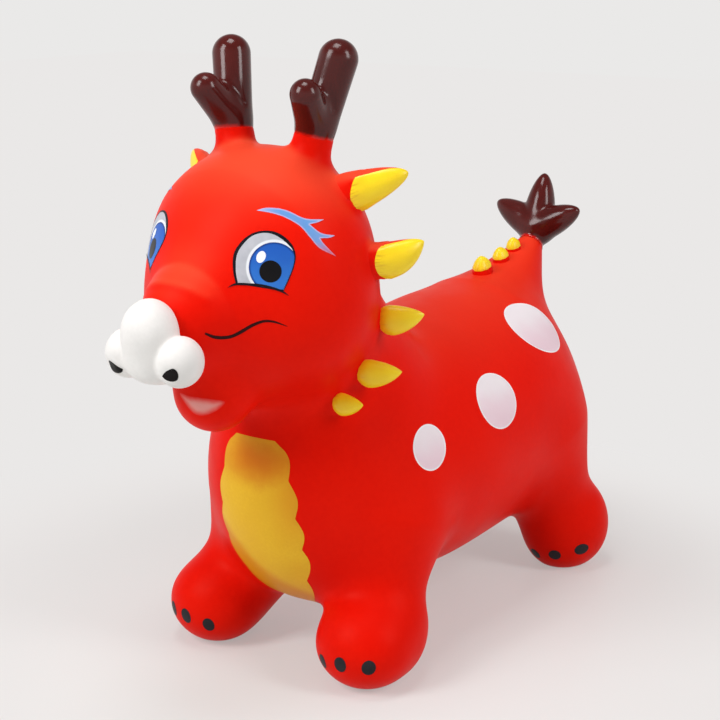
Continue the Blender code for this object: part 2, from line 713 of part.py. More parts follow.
def main():
    clear_scene()
    parts = new_collection("animal_hopper")
    cutters = new_collection("animal_hopper_cutters")
    red = make_material("red_skin", RED, SATIN)
    white = make_material("white_muzzle", WHITE, MATT)
    brown = make_material("brown_gloss", BROWN, GLOSS)
    yellow = make_material("yellow_spikes", YELLOW, SATIN)
    grey = make_material("valve_grey", CLEAR_GREY, SATIN)

    skin, body = make_skin(parts, cutters, red)
    make_muzzle(skin, parts, white)
    for side, flip in (("left", 1), ("right", -1)):
        make_antler(side, flip, parts, cutters, brown)
    make_tuft(parts, cutters, brown)
    make_mane(skin, parts, yellow)
    make_tail_spikes(skin, parts, yellow)
    make_valve(skin, body, parts, cutters, grey)

    carrier = stand_on_origin(parts)
    for item in list(parts.objects) + list(cutters.objects):
        if item is not carrier:
            item.parent = carrier


main()
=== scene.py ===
"""Looks of the animal hopper: its inflated, painted skin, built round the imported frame.

Skin, muzzle, antlers and tuft are the source's lumps, blended more finely. Paint is thin coats laid on
them. Sizes are in metres, and paint outlines in millimetres on the surface.
"""
import json
import math

import bmesh
import bpy
import numpy as np
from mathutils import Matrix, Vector


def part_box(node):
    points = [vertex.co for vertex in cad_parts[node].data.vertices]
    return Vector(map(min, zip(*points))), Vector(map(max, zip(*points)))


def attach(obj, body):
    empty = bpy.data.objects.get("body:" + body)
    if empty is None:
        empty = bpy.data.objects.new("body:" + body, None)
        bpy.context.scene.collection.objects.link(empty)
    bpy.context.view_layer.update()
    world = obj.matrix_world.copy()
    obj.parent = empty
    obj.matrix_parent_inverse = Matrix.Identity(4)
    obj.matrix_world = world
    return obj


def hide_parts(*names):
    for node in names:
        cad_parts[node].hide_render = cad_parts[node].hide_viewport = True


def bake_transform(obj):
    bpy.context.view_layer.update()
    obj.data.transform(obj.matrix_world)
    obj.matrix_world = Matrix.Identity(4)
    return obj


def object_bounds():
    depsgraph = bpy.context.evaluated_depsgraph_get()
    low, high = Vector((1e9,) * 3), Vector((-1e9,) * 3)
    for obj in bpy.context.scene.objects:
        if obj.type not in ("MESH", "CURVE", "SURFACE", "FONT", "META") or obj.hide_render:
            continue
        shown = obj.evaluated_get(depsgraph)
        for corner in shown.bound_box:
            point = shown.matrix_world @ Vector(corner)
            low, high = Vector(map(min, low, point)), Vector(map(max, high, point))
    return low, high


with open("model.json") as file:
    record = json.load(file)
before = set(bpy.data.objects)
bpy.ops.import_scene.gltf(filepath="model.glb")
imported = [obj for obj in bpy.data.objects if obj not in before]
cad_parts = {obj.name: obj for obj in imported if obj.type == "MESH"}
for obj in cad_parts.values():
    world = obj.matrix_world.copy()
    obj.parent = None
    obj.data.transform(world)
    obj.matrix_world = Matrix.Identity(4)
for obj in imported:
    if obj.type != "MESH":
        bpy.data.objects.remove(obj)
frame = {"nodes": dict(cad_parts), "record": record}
cad_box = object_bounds()
scene = bpy.context.scene

# The lumps are written from a point on the floor under the chest; the record says where that is
ANTLER_PIVOT = np.array((0.0415, -0.0635, 0.477))
JOINTS = {joint["name"]: joint for joint in frame["record"]["behaviour"]["joints"]}
CHEST_Y = JOINTS["antler_left_flex"]["pos_m"][1] - ANTLER_PIVOT[1]
SIDES = (("left", 1), ("right", -1))


def at(x, y, z):
    return np.array((x, y + CHEST_Y, z))


def flip(point, side):
    return np.array((point[0] * side, point[1], point[2]))


def unit(vector):
    vector = np.array(vector, float)
    return vector / np.linalg.norm(vector)


# Distance fields
TINY = 1e-9
LEAF_FULLNESS = 0.62
RIDGE_REACH = 4
SLOPE_STEP = 1e-4
# A point moves by no more than this in one round, and a field counts as rising at least this fast
LONGEST_MOVE, LEAST_RISE = 0.02, 0.2
# A net looks once in each block of cells, and in each cell less than so many cells from the surface
BLOCK, BAND = 4, 9
RELAX_ROUNDS, RELAX_SHARE = 2, 0.6


def ellipsoid(centre, radii):
    centre, radii = np.array(centre), np.array(radii)

    def distance(p):
        q = (p - centre) / radii
        reach = np.sqrt((q * q).sum(1))
        q /= radii
        return reach * (reach - 1) / np.maximum(np.sqrt((q * q).sum(1)), TINY)
    return distance


def spindle(start, end, radius):
    """A body round an axis; radius gives its radius by the share along the axis."""
    start, axis = np.array(start), np.array(end) - np.array(start)

    def distance(p):
        q = p - start
        share = np.clip(q @ axis / (axis @ axis), 0, 1)
        q = q - share[:, None] * axis
        return np.sqrt((q * q).sum(1)) - radius(share)
    return distance


def capsule(start, end, first, last):
    return spindle(start, end, lambda share: first + (last - first) * share)


def leaf(start, end, radius, tip):
    """A body that starts round, bulges and runs out to a point."""
    return spindle(start, end, lambda share: radius * (1 - share ** 2) ** LEAF_FULLNESS + tip)


def squashed(distance, centre, way, share):
    """The same body, narrowed along one direction."""
    return lambda p: distance(p + ((p - centre) @ way * (1 / share - 1))[:, None] * way)


def nearby(distance, centre, reach):
    """The same distance, worked out only close to the centre."""
    def value(p):
        out = np.ones(len(p))
        close = (np.abs(p - centre) < reach).all(1)
        out[close] = distance(p[close])
        return out
    return value


def smooth_min(a, b, blend):
    share = np.maximum(blend - np.abs(a - b), 0) / blend
    return np.minimum(a, b) - share ** 3 * blend / 6


def union(lumps):
    """One field from (distance, blend) pairs; each lump blends into the ones before it."""
    def value(p):
        total = None
        for distance, blend in lumps:
            total = distance(p) if total is None else smooth_min(total, distance(p), blend)
        return total
    return value


def raised(field, line, height, width):
    """The field with a soft ridge along a line of points, or a soft groove where height is negative."""
    parts = [capsule(a, b, 0, 0) for a, b in zip(line[:-1], line[1:])]
    middle = np.mean(line, axis=0)
    reach = np.abs(np.array(line) - middle).max() + RIDGE_REACH * width

    def value(p):
        out = field(p)
        close = (np.abs(p - middle) < reach).all(1)
        near = np.min([part(p[close]) for part in parts], axis=0)
        out[close] -= height * np.exp(-(near / width) ** 2)
        return out
    return value


def slope(field, p):
    base = field(p)
    return base, np.stack([(field(p + SLOPE_STEP * axis) - base) / SLOPE_STEP for axis in np.eye(3)], 1)


def onto(field, p, rounds=1, ways=None):
    """Points moved onto the field's surface, straight to it or along given directions."""
    for _ in range(rounds):
        value, grade = slope(field, p)
        way = grade if ways is None else ways
        travel = value / np.maximum((grade * way).sum(1), LEAST_RISE)
        p = p - np.clip(travel, -LONGEST_MOVE, LONGEST_MOVE)[:, None] * way
    return p


def normals(field, p):
    grade = slope(field, p)[1]
    return grade / np.linalg.norm(grade, axis=1, keepdims=True)


def net(field, low, high, step):
    """Points and quads round a field's surface: one point in each cell that the surface crosses."""
    blocks = np.ceil((np.array(high) - low) / (BLOCK * step)).astype(int)
    shape = blocks * BLOCK
    middles = [low[i] + step * (BLOCK * np.arange(blocks[i]) + (BLOCK - 1) / 2) for i in range(3)]
    rough = field(np.stack(np.meshgrid(*middles, indexing="ij"), -1).reshape(-1, 3)).reshape(blocks)
    value = np.kron(rough, np.ones((BLOCK, BLOCK, BLOCK)))
    fine = np.argwhere(np.abs(value) < BAND * step)
    value[tuple(fine.T)] = field(np.array(low) + step * fine)
    rings, crossings = [], []
    for axis in range(3):
        first = np.take(value, range(shape[axis] - 1), axis)
        second = np.take(value, range(1, shape[axis]), axis)
        start = np.argwhere((first < 0) != (second < 0))
        a, b = first[tuple(start.T)], second[tuple(start.T)]
        point = start.astype(float)
        point[:, axis] += a / (a - b)
        ring = []
        for du, dv in ((0, 0), (1, 0), (1, 1), (0, 1)):
            cell = start.copy()
            cell[:, (axis + 1) % 3] -= du
            cell[:, (axis + 2) % 3] -= dv
            ring.append(np.ravel_multi_index(cell.T, shape))
        ring = np.stack(ring, 1)
        ring[a > 0] = ring[a > 0][:, ::-1]
        rings.append(ring)
        crossings.append(np.repeat(point, 4, axis=0))
    # all four cells of a ring get the same crossing, so a reversed ring needs no reordering
    crossings = np.concatenate(crossings)
    index = np.unique(np.concatenate(rings), return_inverse=True)[1].reshape(-1)
    count = np.bincount(index)
    points = np.stack([np.bincount(index, crossings[:, i]) / count for i in range(3)], 1)
    return np.array(low) + step * points, index.reshape(-1, 4)


def relaxed(field, points, quads):
    """Points evened out over the surface and put back on it."""
    a, b = quads.reshape(-1), np.roll(quads, 1, axis=1).reshape(-1)
    ends = np.concatenate((a, b)), np.concatenate((b, a))
    count = np.bincount(ends[0])[:, None]
    points = onto(field, points)
    for _ in range(RELAX_ROUNDS):
        mean = np.stack([np.bincount(ends[0], points[ends[1], i]) for i in range(3)], 1) / count
        points = onto(field, points + RELAX_SHARE * (mean - points))
    return points


# Objects
def placed(name, data):
    item = bpy.data.objects.new(name, data)
    scene.collection.objects.link(item)
    return item


def add(name, points, faces, materials, body="skin", smooth=True):
    mesh = bpy.data.meshes.new(name)
    mesh.from_pydata(np.asarray(points).tolist(), [], [list(map(int, face)) for face in faces])
    for material in materials:
        mesh.materials.append(material)
    if smooth:
        mesh.shade_smooth()
    item = placed(name, mesh)
    if body:
        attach(item, body)
    return item


def field_piece(name, field, centre, reach, step, material, body="skin"):
    points, quads = net(field, centre - reach, centre + reach, step)
    return add(name, relaxed(field, points, quads), quads, [material], body)


def keep_chart(item, values):
    """Keeps three numbers with each point of a mesh, for its material."""
    attribute = item.data.attributes.new("chart", "FLOAT_VECTOR", "POINT")
    attribute.data.foreach_set("vector", np.asarray(values, np.float32).ravel())


def trimmed(item, point, way):
    """Cuts a mesh off at a plane, and keeps each point's distance from it in millimetres."""
    shape = bmesh.new()
    shape.from_mesh(item.data)
    everything = shape.verts[:] + shape.edges[:] + shape.faces[:]
    bmesh.ops.bisect_plane(shape, geom=everything, plane_co=point, plane_no=way, clear_inner=True)
    shape.to_mesh(item.data)
    shape.free()
    item.data.shade_smooth()
    places = np.array([vertex.co for vertex in item.data.vertices])
    keep_chart(item, np.column_stack((places[:, :2] * 1000, (places - point) @ way * 1000)))


# Materials: most paints are two near colours that cloud into each other
# The third red is the orange of a painted highlight, for faces that look up
RED_PAINT, RED_SHADE, RED_PAINTED_HIGHLIGHT = (234, 22, 6), (228, 18, 5), (230, 74, 46)
WHITE_PAINT = (238, 234, 231), (232, 228, 225)
BROWN_PAINT = (82, 22, 19), (70, 18, 15)
YELLOW_PAINT, YELLOW_STREAK_OCHRE = ((252, 220, 30), (246, 208, 27)), (206, 146, 26)
EYE_GREY, EYE_PALE = ((177, 178, 186), (190, 190, 197)), (230, 231, 236)
IRIS_BLUE, IRIS_RIM = ((54, 118, 204), (38, 92, 184)), (24, 56, 128)
BROW_BLUE, BROW_PALE = ((98, 152, 214), (112, 150, 212)), (172, 172, 216)
CHEST_PAINT, CHEST_DUST = ((236, 187, 38), (229, 176, 32)), (212, 118, 2)
LIP_PINK = (232, 172, 164)
SPOT_PAINT, SPOT_RIM = ((236, 206, 216), (241, 231, 235)), (243, 238, 240)
VALVE_PLASTIC = (208, 207, 202), (198, 197, 192)
# Plain paints: colours and roughness
PLAIN = {
    "line": (((26, 23, 30), (20, 18, 24)), 0.38),
    "smile": (((48, 12, 13), (40, 10, 11)), 0.38),
    "pupil": (((22, 20, 22), (16, 15, 18)), 0.32),
    "glint": (((246, 247, 250), (240, 242, 247)), 0.32),
    "nostril": (((24, 20, 20), (17, 14, 15)), 0.38),
    "claw": (((44, 43, 47), (35, 34, 38)), 0.36),
}
# The floor's near colour is pinker: a painted bounce of the red skin
FLOOR_PAINT, FLOOR_PAINTED_BOUNCE, FLOOR_FAR = ((227, 231, 230), (223, 227, 226)), (236, 228, 226), (234, 232, 231)
BACKDROP = (234, 233, 232)
# Clouds in a paint: how much of them is fine mottle, and how much finer that is
MOTTLE, MOTTLE_SCALE = 0.3, 24
GRAIN_SCALE, GRAIN_DEPTH = 900, 0.0004
# Middle of the iris and its radius, in the eye's millimetres
IRIS_U, IRIS_V, IRIS_RADIUS = 4.0, -4.2, 19.8


def linear(colour):
    """A screen's colour, in numbers up to 255, as a shader takes it."""
    share = np.array(colour, float) / 255
    return tuple(np.where(share <= 0.04045, share / 12.92, ((share + 0.055) / 1.055) ** 2.4)) + (1.0,)


class Nodes:
    """The nodes of a material or of the world."""

    def __init__(self, owner):
        owner.use_nodes = True
        self.tree = owner.node_tree

    def node(self, kind, **settings):
        node = self.tree.nodes.new("ShaderNode" + kind)
        for name, value in settings.items():
            setattr(node, name, value)
        return node

    def feed(self, socket, value):
        if isinstance(value, bpy.types.NodeSocket):
            self.tree.links.new(value, socket)
        else:
            socket.default_value = value

    def fed(self, kind, values, **settings):
        """The outputs of a node whose first inputs, or inputs by name, are filled."""
        node = self.node(kind, **settings)
        named = values if isinstance(values, dict) else dict(enumerate(values))
        for key, value in named.items():
            self.feed(node.inputs[key], value)
        return node.outputs

    def math(self, operation, *values):
        return self.fed("Math", values, operation=operation)[0]

    def distance(self, across, up):
        squares = [self.math("POWER", value, 2.0) for value in (across, up)]
        return self.math("SQRT", self.math("ADD", *squares))

    def span(self, value, low, high, to_low=0.0, to_high=1.0, kind="SMOOTHSTEP"):
        values = (value, low, high, to_low, to_high)
        return self.fed("MapRange", values, interpolation_type=kind)[0]

    def apart(self, vector):
        return self.fed("SeparateXYZ", (vector,))

    def show(self, output, light, shown, share=1.0):
        """One shader for light, and one that the camera sees, straight, in a mirror or through glass."""
        path = self.node("LightPath").outputs
        seen = self.math("MAXIMUM", path["Is Camera Ray"], path["Is Glossy Ray"])
        seen = self.math("MULTIPLY", self.math("MAXIMUM", seen, path["Is Transmission Ray"]), share)
        both = self.fed("MixShader", (seen, light[0], shown[0]))
        self.feed(self.tree.nodes[output].inputs["Surface"], both[0])


class Look(Nodes):
    """A Principled material that varies over the surface."""

    def __init__(self, name, roughness, specular=0.2):
        self.material = bpy.data.materials.new(name)
        super().__init__(self.material)
        self.shader = self.tree.nodes["Principled BSDF"]
        self.shader.inputs["Roughness"].default_value = roughness
        self.shader.inputs["Specular IOR Level"].default_value = specular
        self.place = self.node("TexCoord").outputs["Object"]

    def noise(self, scale, detail, where=None):
        values = {"Vector": where or self.place, "Scale": scale, "Detail": detail}
        return self.fed("TexNoise", values)["Fac"]

    def clouded(self, value, scale, detail, size):
        """The value with noise of the given size added to it."""
        return self.math("ADD", value, self.math("MULTIPLY", self.noise(scale, detail), size))

    def mix(self, share, first, second):
        """Between two colours, each a node's or three numbers up to 255."""
        ends = [linear(end) if isinstance(end, tuple) else end for end in (first, second)]
        return self.fed("Mix", {0: share, 6: ends[0], 7: ends[1]}, data_type="RGBA")[2]

    def chart(self):
        """What keep_chart kept, in millimetres: the last number is the distance from the paint's edge."""
        return self.apart(self.node("Attribute", attribute_name="chart").outputs["Vector"])

    def colour(self, value):
        self.feed(self.shader.inputs["Base Color"], value)

    def worn(self, paint, scale=9.0):
        """Two near colours in soft clouds, with a finer mottle in them."""
        soft = self.math("MULTIPLY", self.noise(scale, 3), 1 - MOTTLE)
        clouds = self.clouded(soft, scale * MOTTLE_SCALE, 2, MOTTLE)
        return self.mix(self.span(clouds, 0.35, 0.65), *paint)

    def done(self, grain, rough=None, rough_scale=30.0, grain_scale=GRAIN_SCALE):
        """The material, with the fine relief of a moulded skin and roughness between two values."""
        if rough:
            share = self.noise(rough_scale, 3)
            self.feed(self.shader.inputs["Roughness"], self.span(share, 0.3, 0.7, *rough))
        relief = {"Strength": grain, "Distance": GRAIN_DEPTH, "Height": self.noise(grain_scale, 3)}
        self.feed(self.shader.inputs["Normal"], self.fed("Bump", relief)[0])
        return self.material


def skin_look():
    """Red, with a painted orange highlight where it faces up, most of all on the head."""
    look = Look("red_skin", 0.5, specular=0.06)
    look.shader.inputs["Specular Tint"].default_value = (1.0, 0.72, 0.5, 1.0)
    # Painted highlight: upward faces high on the body turn orange, as under the overhead light
    rise = look.apart(look.node("NewGeometry").outputs["Normal"])[2]
    facing_up = look.span(look.clouded(rise, 12, 3, 0.2), 0.4, 1.05)
    high = look.span(look.apart(look.place)[2], 0.2, 0.42, 0.0, 0.88)
    painted_highlight = look.math("MULTIPLY", facing_up, high)
    look.colour(look.mix(painted_highlight, look.worn((RED_PAINT, RED_SHADE)), RED_PAINTED_HIGHLIGHT))
    return look.done(0.12, (0.4, 0.48))


def plain_look(name, roughness, specular, paint, scale, *ending):
    look = Look(name, roughness, specular)
    look.colour(look.worn(paint, scale))
    return look.done(*ending)


def brown_look():
    """Brown, sprayed on, so that it runs out into the red at its edge."""
    look = Look("brown_gloss", 0.24, specular=0.32)
    spray = look.clouded(look.chart()[2], 260, 2, 2.4)
    brown = look.worn(BROWN_PAINT, 22)
    look.colour(look.mix(look.span(spray, 0.6, 5.2), RED_SHADE, brown))
    return look.done(0.05, (0.13, 0.2), 40, 500)


def yellow_look():
    """Yellow with ochre streaks along its length, strongest at the yellow's edge by the root."""
    look = Look("yellow_spikes", 0.33, specular=0.36)
    chart = look.node("Attribute", attribute_name="chart").outputs["Vector"]
    stretched = look.fed("VectorMath", (chart, (0.05, 0.16, 0.05)), operation="MULTIPLY")[0]
    streaks = look.span(look.noise(1.0, 3, stretched), 0.5, 0.7, 0.0, 0.6)
    ochre = look.math("MULTIPLY", look.span(look.apart(chart)[2], 11.0, 0.0), streaks)
    look.colour(look.mix(ochre, look.worn(YELLOW_PAINT, 40), YELLOW_STREAK_OCHRE))
    return look.done(0.1, (0.28, 0.38), grain_scale=700)


def from_iris(look, side, shift):
    """Distance from the middle of the iris, and height above it, in millimetres."""
    chart = look.chart()
    across = look.math("SUBTRACT", chart[0], IRIS_U * side + shift[0])
    up = look.math("SUBTRACT", chart[1], IRIS_V + shift[1])
    return look.distance(across, up), up


def eye_white_look(word, side, shift):
    """Pale grey, and white next to the iris."""
    look = Look(f"paint_eye_white_{word}", 0.36, specular=0.12)
    reach = from_iris(look, side, shift)[0]
    grey = look.mix(look.span(look.noise(90, 2), 0.3, 0.7), *EYE_GREY)
    ring = look.span(reach, IRIS_RADIUS + 1.6, IRIS_RADIUS + 2.8, 1.0, 0.0)
    look.colour(look.mix(ring, grey, EYE_PALE))
    return look.done(0.05, (0.32, 0.4), 60)


def iris_look(word, side, shift):
    """Blue, darker at the rim and below the upper lid."""
    look = Look(f"paint_iris_{word}", 0.34, specular=0.12)
    reach, up = from_iris(look, side, shift)
    upper = look.span(look.clouded(up, 120, 3, 8.0), -14.0, 22.0)
    blue = look.mix(upper, *IRIS_BLUE)
    rim = look.span(reach, IRIS_RADIUS - 2.2, IRIS_RADIUS - 0.2)
    look.colour(look.mix(rim, blue, IRIS_RIM))
    return look.done(0.05, (0.3, 0.38), 60)


def brow_look():
    """Blue, paler at the edges and at the inner end, and fading into the red at the lower tip."""
    look = Look("paint_brow", 0.4)
    u, v, edge = look.chart()
    inner = look.math("MULTIPLY", look.span(edge, 0.3, 1.6), look.span(u, -31.0, -14.0, 0.3, 1.0))
    paint = look.mix(inner, BROW_PALE, look.worn(BROW_BLUE, 70))
    tip = look.span(look.clouded(v, 180, 2, 6.0), -24.0, -11.0, 0.35, 1.0)
    look.colour(look.mix(tip, RED_PAINT, paint))
    return look.done(0.06)


def chest_look():
    """Yellow-ochre, with orange dusted on under the chin, down its left and at its lower right."""
    look = Look("paint_chest", 0.42)
    u, v, _ = look.chart()
    aside = look.math("MULTIPLY", look.math("SUBTRACT", u, 10.0), 0.5)
    from_chin = look.distance(aside, look.math("SUBTRACT", v, 22.0))
    chin = look.span(look.clouded(from_chin, 60, 3, 12.0), 40.0, 8.0)
    left = look.math("MULTIPLY", look.span(u, 14.0, 46.0, 0.0, 0.5), look.span(v, 120.0, 50.0))
    slant = look.math("SUBTRACT", look.clouded(v, 60, 3, 12.0), look.math("MULTIPLY", u, 1.2))
    lower = look.span(slant, 128.0, 152.0, 0.0, 0.6)
    dust = look.math("MAXIMUM", look.math("MAXIMUM", chin, left), lower)
    look.colour(look.mix(dust, look.worn(CHEST_PAINT, 18), CHEST_DUST))
    return look.done(0.1, (0.4, 0.48))


def lip_look():
    """Pale pink that fades out into the skin's red."""
    look = Look("paint_lip", 0.42)
    inner = look.span(look.clouded(look.chart()[2], 160, 2, 2.0), 0.5, 7.5, 0.0, 0.75)
    look.colour(look.mix(inner, look.worn((RED_PAINT, RED_SHADE)), LIP_PINK))
    return look.done(0.12, (0.4, 0.48))


def spot_look():
    """White, pinker in its lower part, with a clean rim."""
    look = Look("paint_spot", 0.42)
    _, v, edge = look.chart()
    upper = look.span(look.clouded(v, 26, 3, 30.0), -4.0, 36.0)
    inner = look.mix(upper, *SPOT_PAINT)
    look.colour(look.mix(look.span(edge, 2.4, 0.7), inner, SPOT_RIM))
    return look.done(0.1, (0.4, 0.48))


RED = skin_look()
BROWN = brown_look()
YELLOW = yellow_look()
WHITE = plain_look("white_muzzle", 0.5, 0.2, WHITE_PAINT, 14, 0.1, (0.46, 0.56))
GREY = plain_look("valve_grey", 0.4, 0.2, VALVE_PLASTIC, 60, 0.1, (0.34, 0.46), 90, 1500)
plain = {name: plain_look(f"paint_{name}", mean, 0.1, paint, 60, 0.06, (mean - 0.04, mean + 0.05), 50)
         for name, (paint, mean) in PLAIN.items()}

# Skin: the source's lumps, with the antler roots carried up inside the antlers
CHEST, BARREL, RUMP = at(0, 0, 0.176), at(0, 0.1183, 0.169), at(0, 0.232, 0.176)
SKULL = at(0, -0.079, 0.387)
SNOUT_TIP = SKULL + (0, -0.091, -0.041)
TAIL_ROOT, TAIL_TIP = RUMP + (0, 0.064, 0.077), RUMP + (0, 0.149, 0.15)
TAIL_WAY = unit(TAIL_TIP - TAIL_ROOT)
TAIL_RADII = (0.058, 0.011)
SOLE, SOLE_EDGE = 0.0015, 0.005
# Hip, its radius, ankle, its radius
LEGS = (
    (CHEST + (0.066, 0.007, -0.047), 0.055, at(0.074, -0.017, 0.06), 0.038),
    (RUMP + (0.062, 0.041, -0.026), 0.058, at(0.081, 0.298, 0.067), 0.039),
)
FEET = (
    (at(0.09, -0.022, 0.044 - SOLE), (0.036, 0.036, 0.044)),
    (at(0.086, -0.052, 0.039 - SOLE), (0.044, 0.04, 0.039)),
    (at(0.092, 0.316, 0.046 - SOLE), (0.04, 0.036, 0.046)),
    (at(0.088, 0.299, 0.038 - SOLE), (0.036, 0.035, 0.038)),
)
LEG_BLEND, FOOT_BLEND = 0.045, 0.03
ROOT_BASE, ROOT_RADII, ROOT_BLEND = SKULL + (0.037, 0.01, 0.06), (0.019, 0.0148), 0.024
ROOT_WAY = unit((0.0045, 0.0055, 0.03))
# Antlers, from their pivots: start and end, radii
TINE, TINE_RADII = ((0, 0, 0), (0.0155, 0.0155, 0.069)), (0.0152, 0.0164)
BRANCH, BRANCH_RADII = ((0.003, -0.002, 0.016), (0.0115, -0.0235, 0.043)), (0.0146, 0.0128)
BRANCH_BLEND = 0.012
# The crease between them, on both faces: middle and spread across of each end, and its place
CREASE = ((0.0095, 0.013, -0.0035, 0.047), (0.006, 0.016, 0.001, 0.03))
CREASE_DEPTH, CREASE_WIDTH = 0.0022, 0.0024
# The brown's lower edge along the root; above it the red is drawn in, over a run, and soon ends
ANTLER_EDGE = 0.006
RED_DRAWN, RED_RUN, RED_END, RED_NEAR, RED_BLEND = 0.0012, 0.006, 0.009, 0.06, 0.008


def antler_field(side):
    """A rounded tine with a shorter branch ahead of it and a crease between them."""
    pivot = flip(at(*ANTLER_PIVOT), side)

    def off(x, y, z):
        return pivot + flip((x, y, z), side)

    field = union([
        (capsule(off(*TINE[0]), off(*TINE[1]), *TINE_RADII), 0),
        (capsule(off(*BRANCH[0]), off(*BRANCH[1]), *BRANCH_RADII), BRANCH_BLEND),
    ])
    for outer in (1, -1):
        fork = [off(x + spread * outer, y, z) for x, spread, y, z in CREASE]
        field = raised(field, fork, -CREASE_DEPTH, CREASE_WIDTH)
    return field


def sunk(field, side):
    """The antler's form below its edge, drawn in above the edge so that it ends under the brown."""
    pivot, way = flip(at(*ANTLER_PIVOT), side), flip(ROOT_WAY, side)

    def distance(p):
        above = (p - pivot) @ way - ANTLER_EDGE
        share = np.clip(above / RED_RUN, 0, 1)
        return np.maximum(field(p) + RED_DRAWN * share, above - RED_END)
    return distance


def tail_point(share):
    return TAIL_ROOT + (TAIL_TIP - TAIL_ROOT) * share


def skin_lumps():
    """Trunk, neck, head, snout, chin and tail, then each side's legs, feet and antler root."""
    lumps = [
        (ellipsoid(CHEST, (0.101, 0.104, 0.129)), 0),
        (ellipsoid(BARREL, (0.121, 0.192, 0.125)), 0.05),
        (ellipsoid(RUMP, (0.118, 0.15, 0.124)), 0.05),
        (capsule(CHEST + (0, 0.007, 0.084), SKULL + (0, 0.019, -0.048), 0.079, 0.079), 0.05),
        (ellipsoid(SKULL, (0.097, 0.085, 0.088)), 0.045),
        (ellipsoid(SKULL + (0, -0.007, -0.05), (0.1, 0.084, 0.071)), 0.045),
        (capsule(SKULL + (0, -0.027, -0.026), SNOUT_TIP, 0.079, 0.041), 0.05),
        (ellipsoid(SKULL + (0, -0.0645, -0.1), (0.036, 0.034, 0.042)), 0.03),
        (ellipsoid(SKULL + (0, -0.0705, -0.1155), (0.031, 0.025, 0.0255)), 0.014),
        (capsule(TAIL_ROOT, TAIL_TIP, *TAIL_RADII), 0.05),
    ]
    for _, side in SIDES:
        for hip, hip_radius, ankle, ankle_radius in LEGS:
            leg = capsule(flip(hip, side), flip(ankle, side), hip_radius, ankle_radius)
            lumps.append((leg, LEG_BLEND))
        for centre, radii in FEET:
            lumps.append((ellipsoid(flip(centre, side), radii), FOOT_BLEND))
        pivot = flip(at(*ANTLER_PIVOT), side)
        lumps.append((capsule(flip(ROOT_BASE, side), pivot, *ROOT_RADII), ROOT_BLEND))
        lumps.append((nearby(sunk(antler_field(side), side), pivot, RED_NEAR), RED_BLEND))
    return lumps


def standing(field):
    """The field cut off at the floor with a soft edge."""
    return lambda p: -smooth_min(-field(p), p[:, 2], SOLE_EDGE)


bare_skin = union(skin_lumps())
SEAT_REACH, SEAT_STEPS = 0.3, 601


def seat(start, way):
    """Where a line from inside, along way, leaves the bare skin."""
    way = unit(way)
    reach = np.linspace(SEAT_REACH, 0, SEAT_STEPS)
    inside = bare_skin(start + reach[:, None] * way) < 0
    return onto(bare_skin, (start + reach[np.argmax(inside)] * way)[None], 3, way[None])[0]


# Spikes: azimuth and elevation of the root from the skull, lean, length, root radius
MANE = (
    (14.6, 33.2, (0.784, 0.517, 0.347), 0.052, 0.018),
    (14.0, -1.7, (0.709, 0.62, 0.336), 0.046, 0.0165),
    (31.0, -31.4, (0.88, 0.441, 0.175), 0.039, 0.014),
    (20.0, -50.6, (0.932, 0.351, 0.09), 0.038, 0.013),
    (11.5, -62.4, (0.994, 0.078, 0.075), 0.028, 0.0105),
)
# How each swells, ends and sags, and how far round it the yellow goes, in degrees from its front
ALL_ROUND = (0, 360)
SMALL_FORM = (2.2, 0.8, 0.1, ALL_ROUND)
MANE_FORMS = ((1.25, 0.56, 0.0, (-48, 100)), (2.4, 0.72, 0.3, (-66, 105)), *[SMALL_FORM] * 3)
# A small mane spike: its rounded root's start and run, the yellow's start, and its depth in the skin
SMALL_ROOT = {"egg": (0.08, 0.4), "edge": -0.02, "sink": 0.003}
# Tail spikes: place along the tail, length, root radius, the yellow's start
TAIL_SPIKES = ((0.2, 0.018, 0.0125, 0.32), (0.49, 0.014, 0.0105, 0.24), (0.71, 0.0125, 0.0092, 0.16))
TAIL_SPIKE_LEAN = (0, -0.25, 0.97)
TAIL_SPIKE_FORM = (2.2, 0.7, 0, ALL_ROUND)
MANE_SQUASH, TAIL_SQUASH = 0.75, 0.8
# A mane spike's red stem: its length and thickness as shares of the spike's
STEM, SMALL_STEM = (0.28, 1), (0.1, 0.55)
STEM_SINK, STEM_TAPER, STEM_NEAR, STEM_BLEND = 0.012, (0.95, 0.72), 0.055, 0.014
SPIKE_WRAP, RIGHT_SPIKE_WRAP = 75, 30
PAINTED_SIDES, BARE_SIDES = 30, 14
ROOT_ROWS, BODY_ROWS, ROWS = 5, 20, 25
# The yellow's edge: how far it runs up at its ends and its groove; and how the rows crowd to the tip
EDGE_SWEEP, EDGE_GROOVE, ROW_CROWDING = 0.27, 0.03, 1.6
RIBS, RIB_HEIGHT, RIB_START, RIB_RUN = 9, 0.035, 0.05, 0.09
LEAST_ROOT = 0.03


def mane_seat(azimuth, elevation):
    turn, rise = math.radians(azimuth), math.radians(elevation)
    way = (math.cos(rise) * math.cos(turn), math.cos(rise) * math.sin(turn), math.sin(rise))
    return seat(SKULL, way)


MANE_SEATS = [mane_seat(azimuth, elevation) for azimuth, elevation, *_ in MANE]


def stem_lumps():
    """The red swellings that the mane spikes stand on."""
    lumps = []
    for foot, (_, _, lean, length, radius), form in zip(MANE_SEATS, MANE, MANE_FORMS):
        reach, share = SMALL_STEM if form[-1] == ALL_ROUND else STEM
        thick = radius * share
        for _, side in SIDES:
            way, middle = flip(unit(lean), side), flip(foot, side)
            stem = capsule(middle - STEM_SINK * way, middle + reach * length * way,
                           thick * STEM_TAPER[0], thick * STEM_TAPER[1])
            stem = squashed(stem, middle, unit((way[1], -way[0], 0)), MANE_SQUASH)
            lumps.append((nearby(stem, middle, STEM_NEAR), STEM_BLEND))
    return lumps


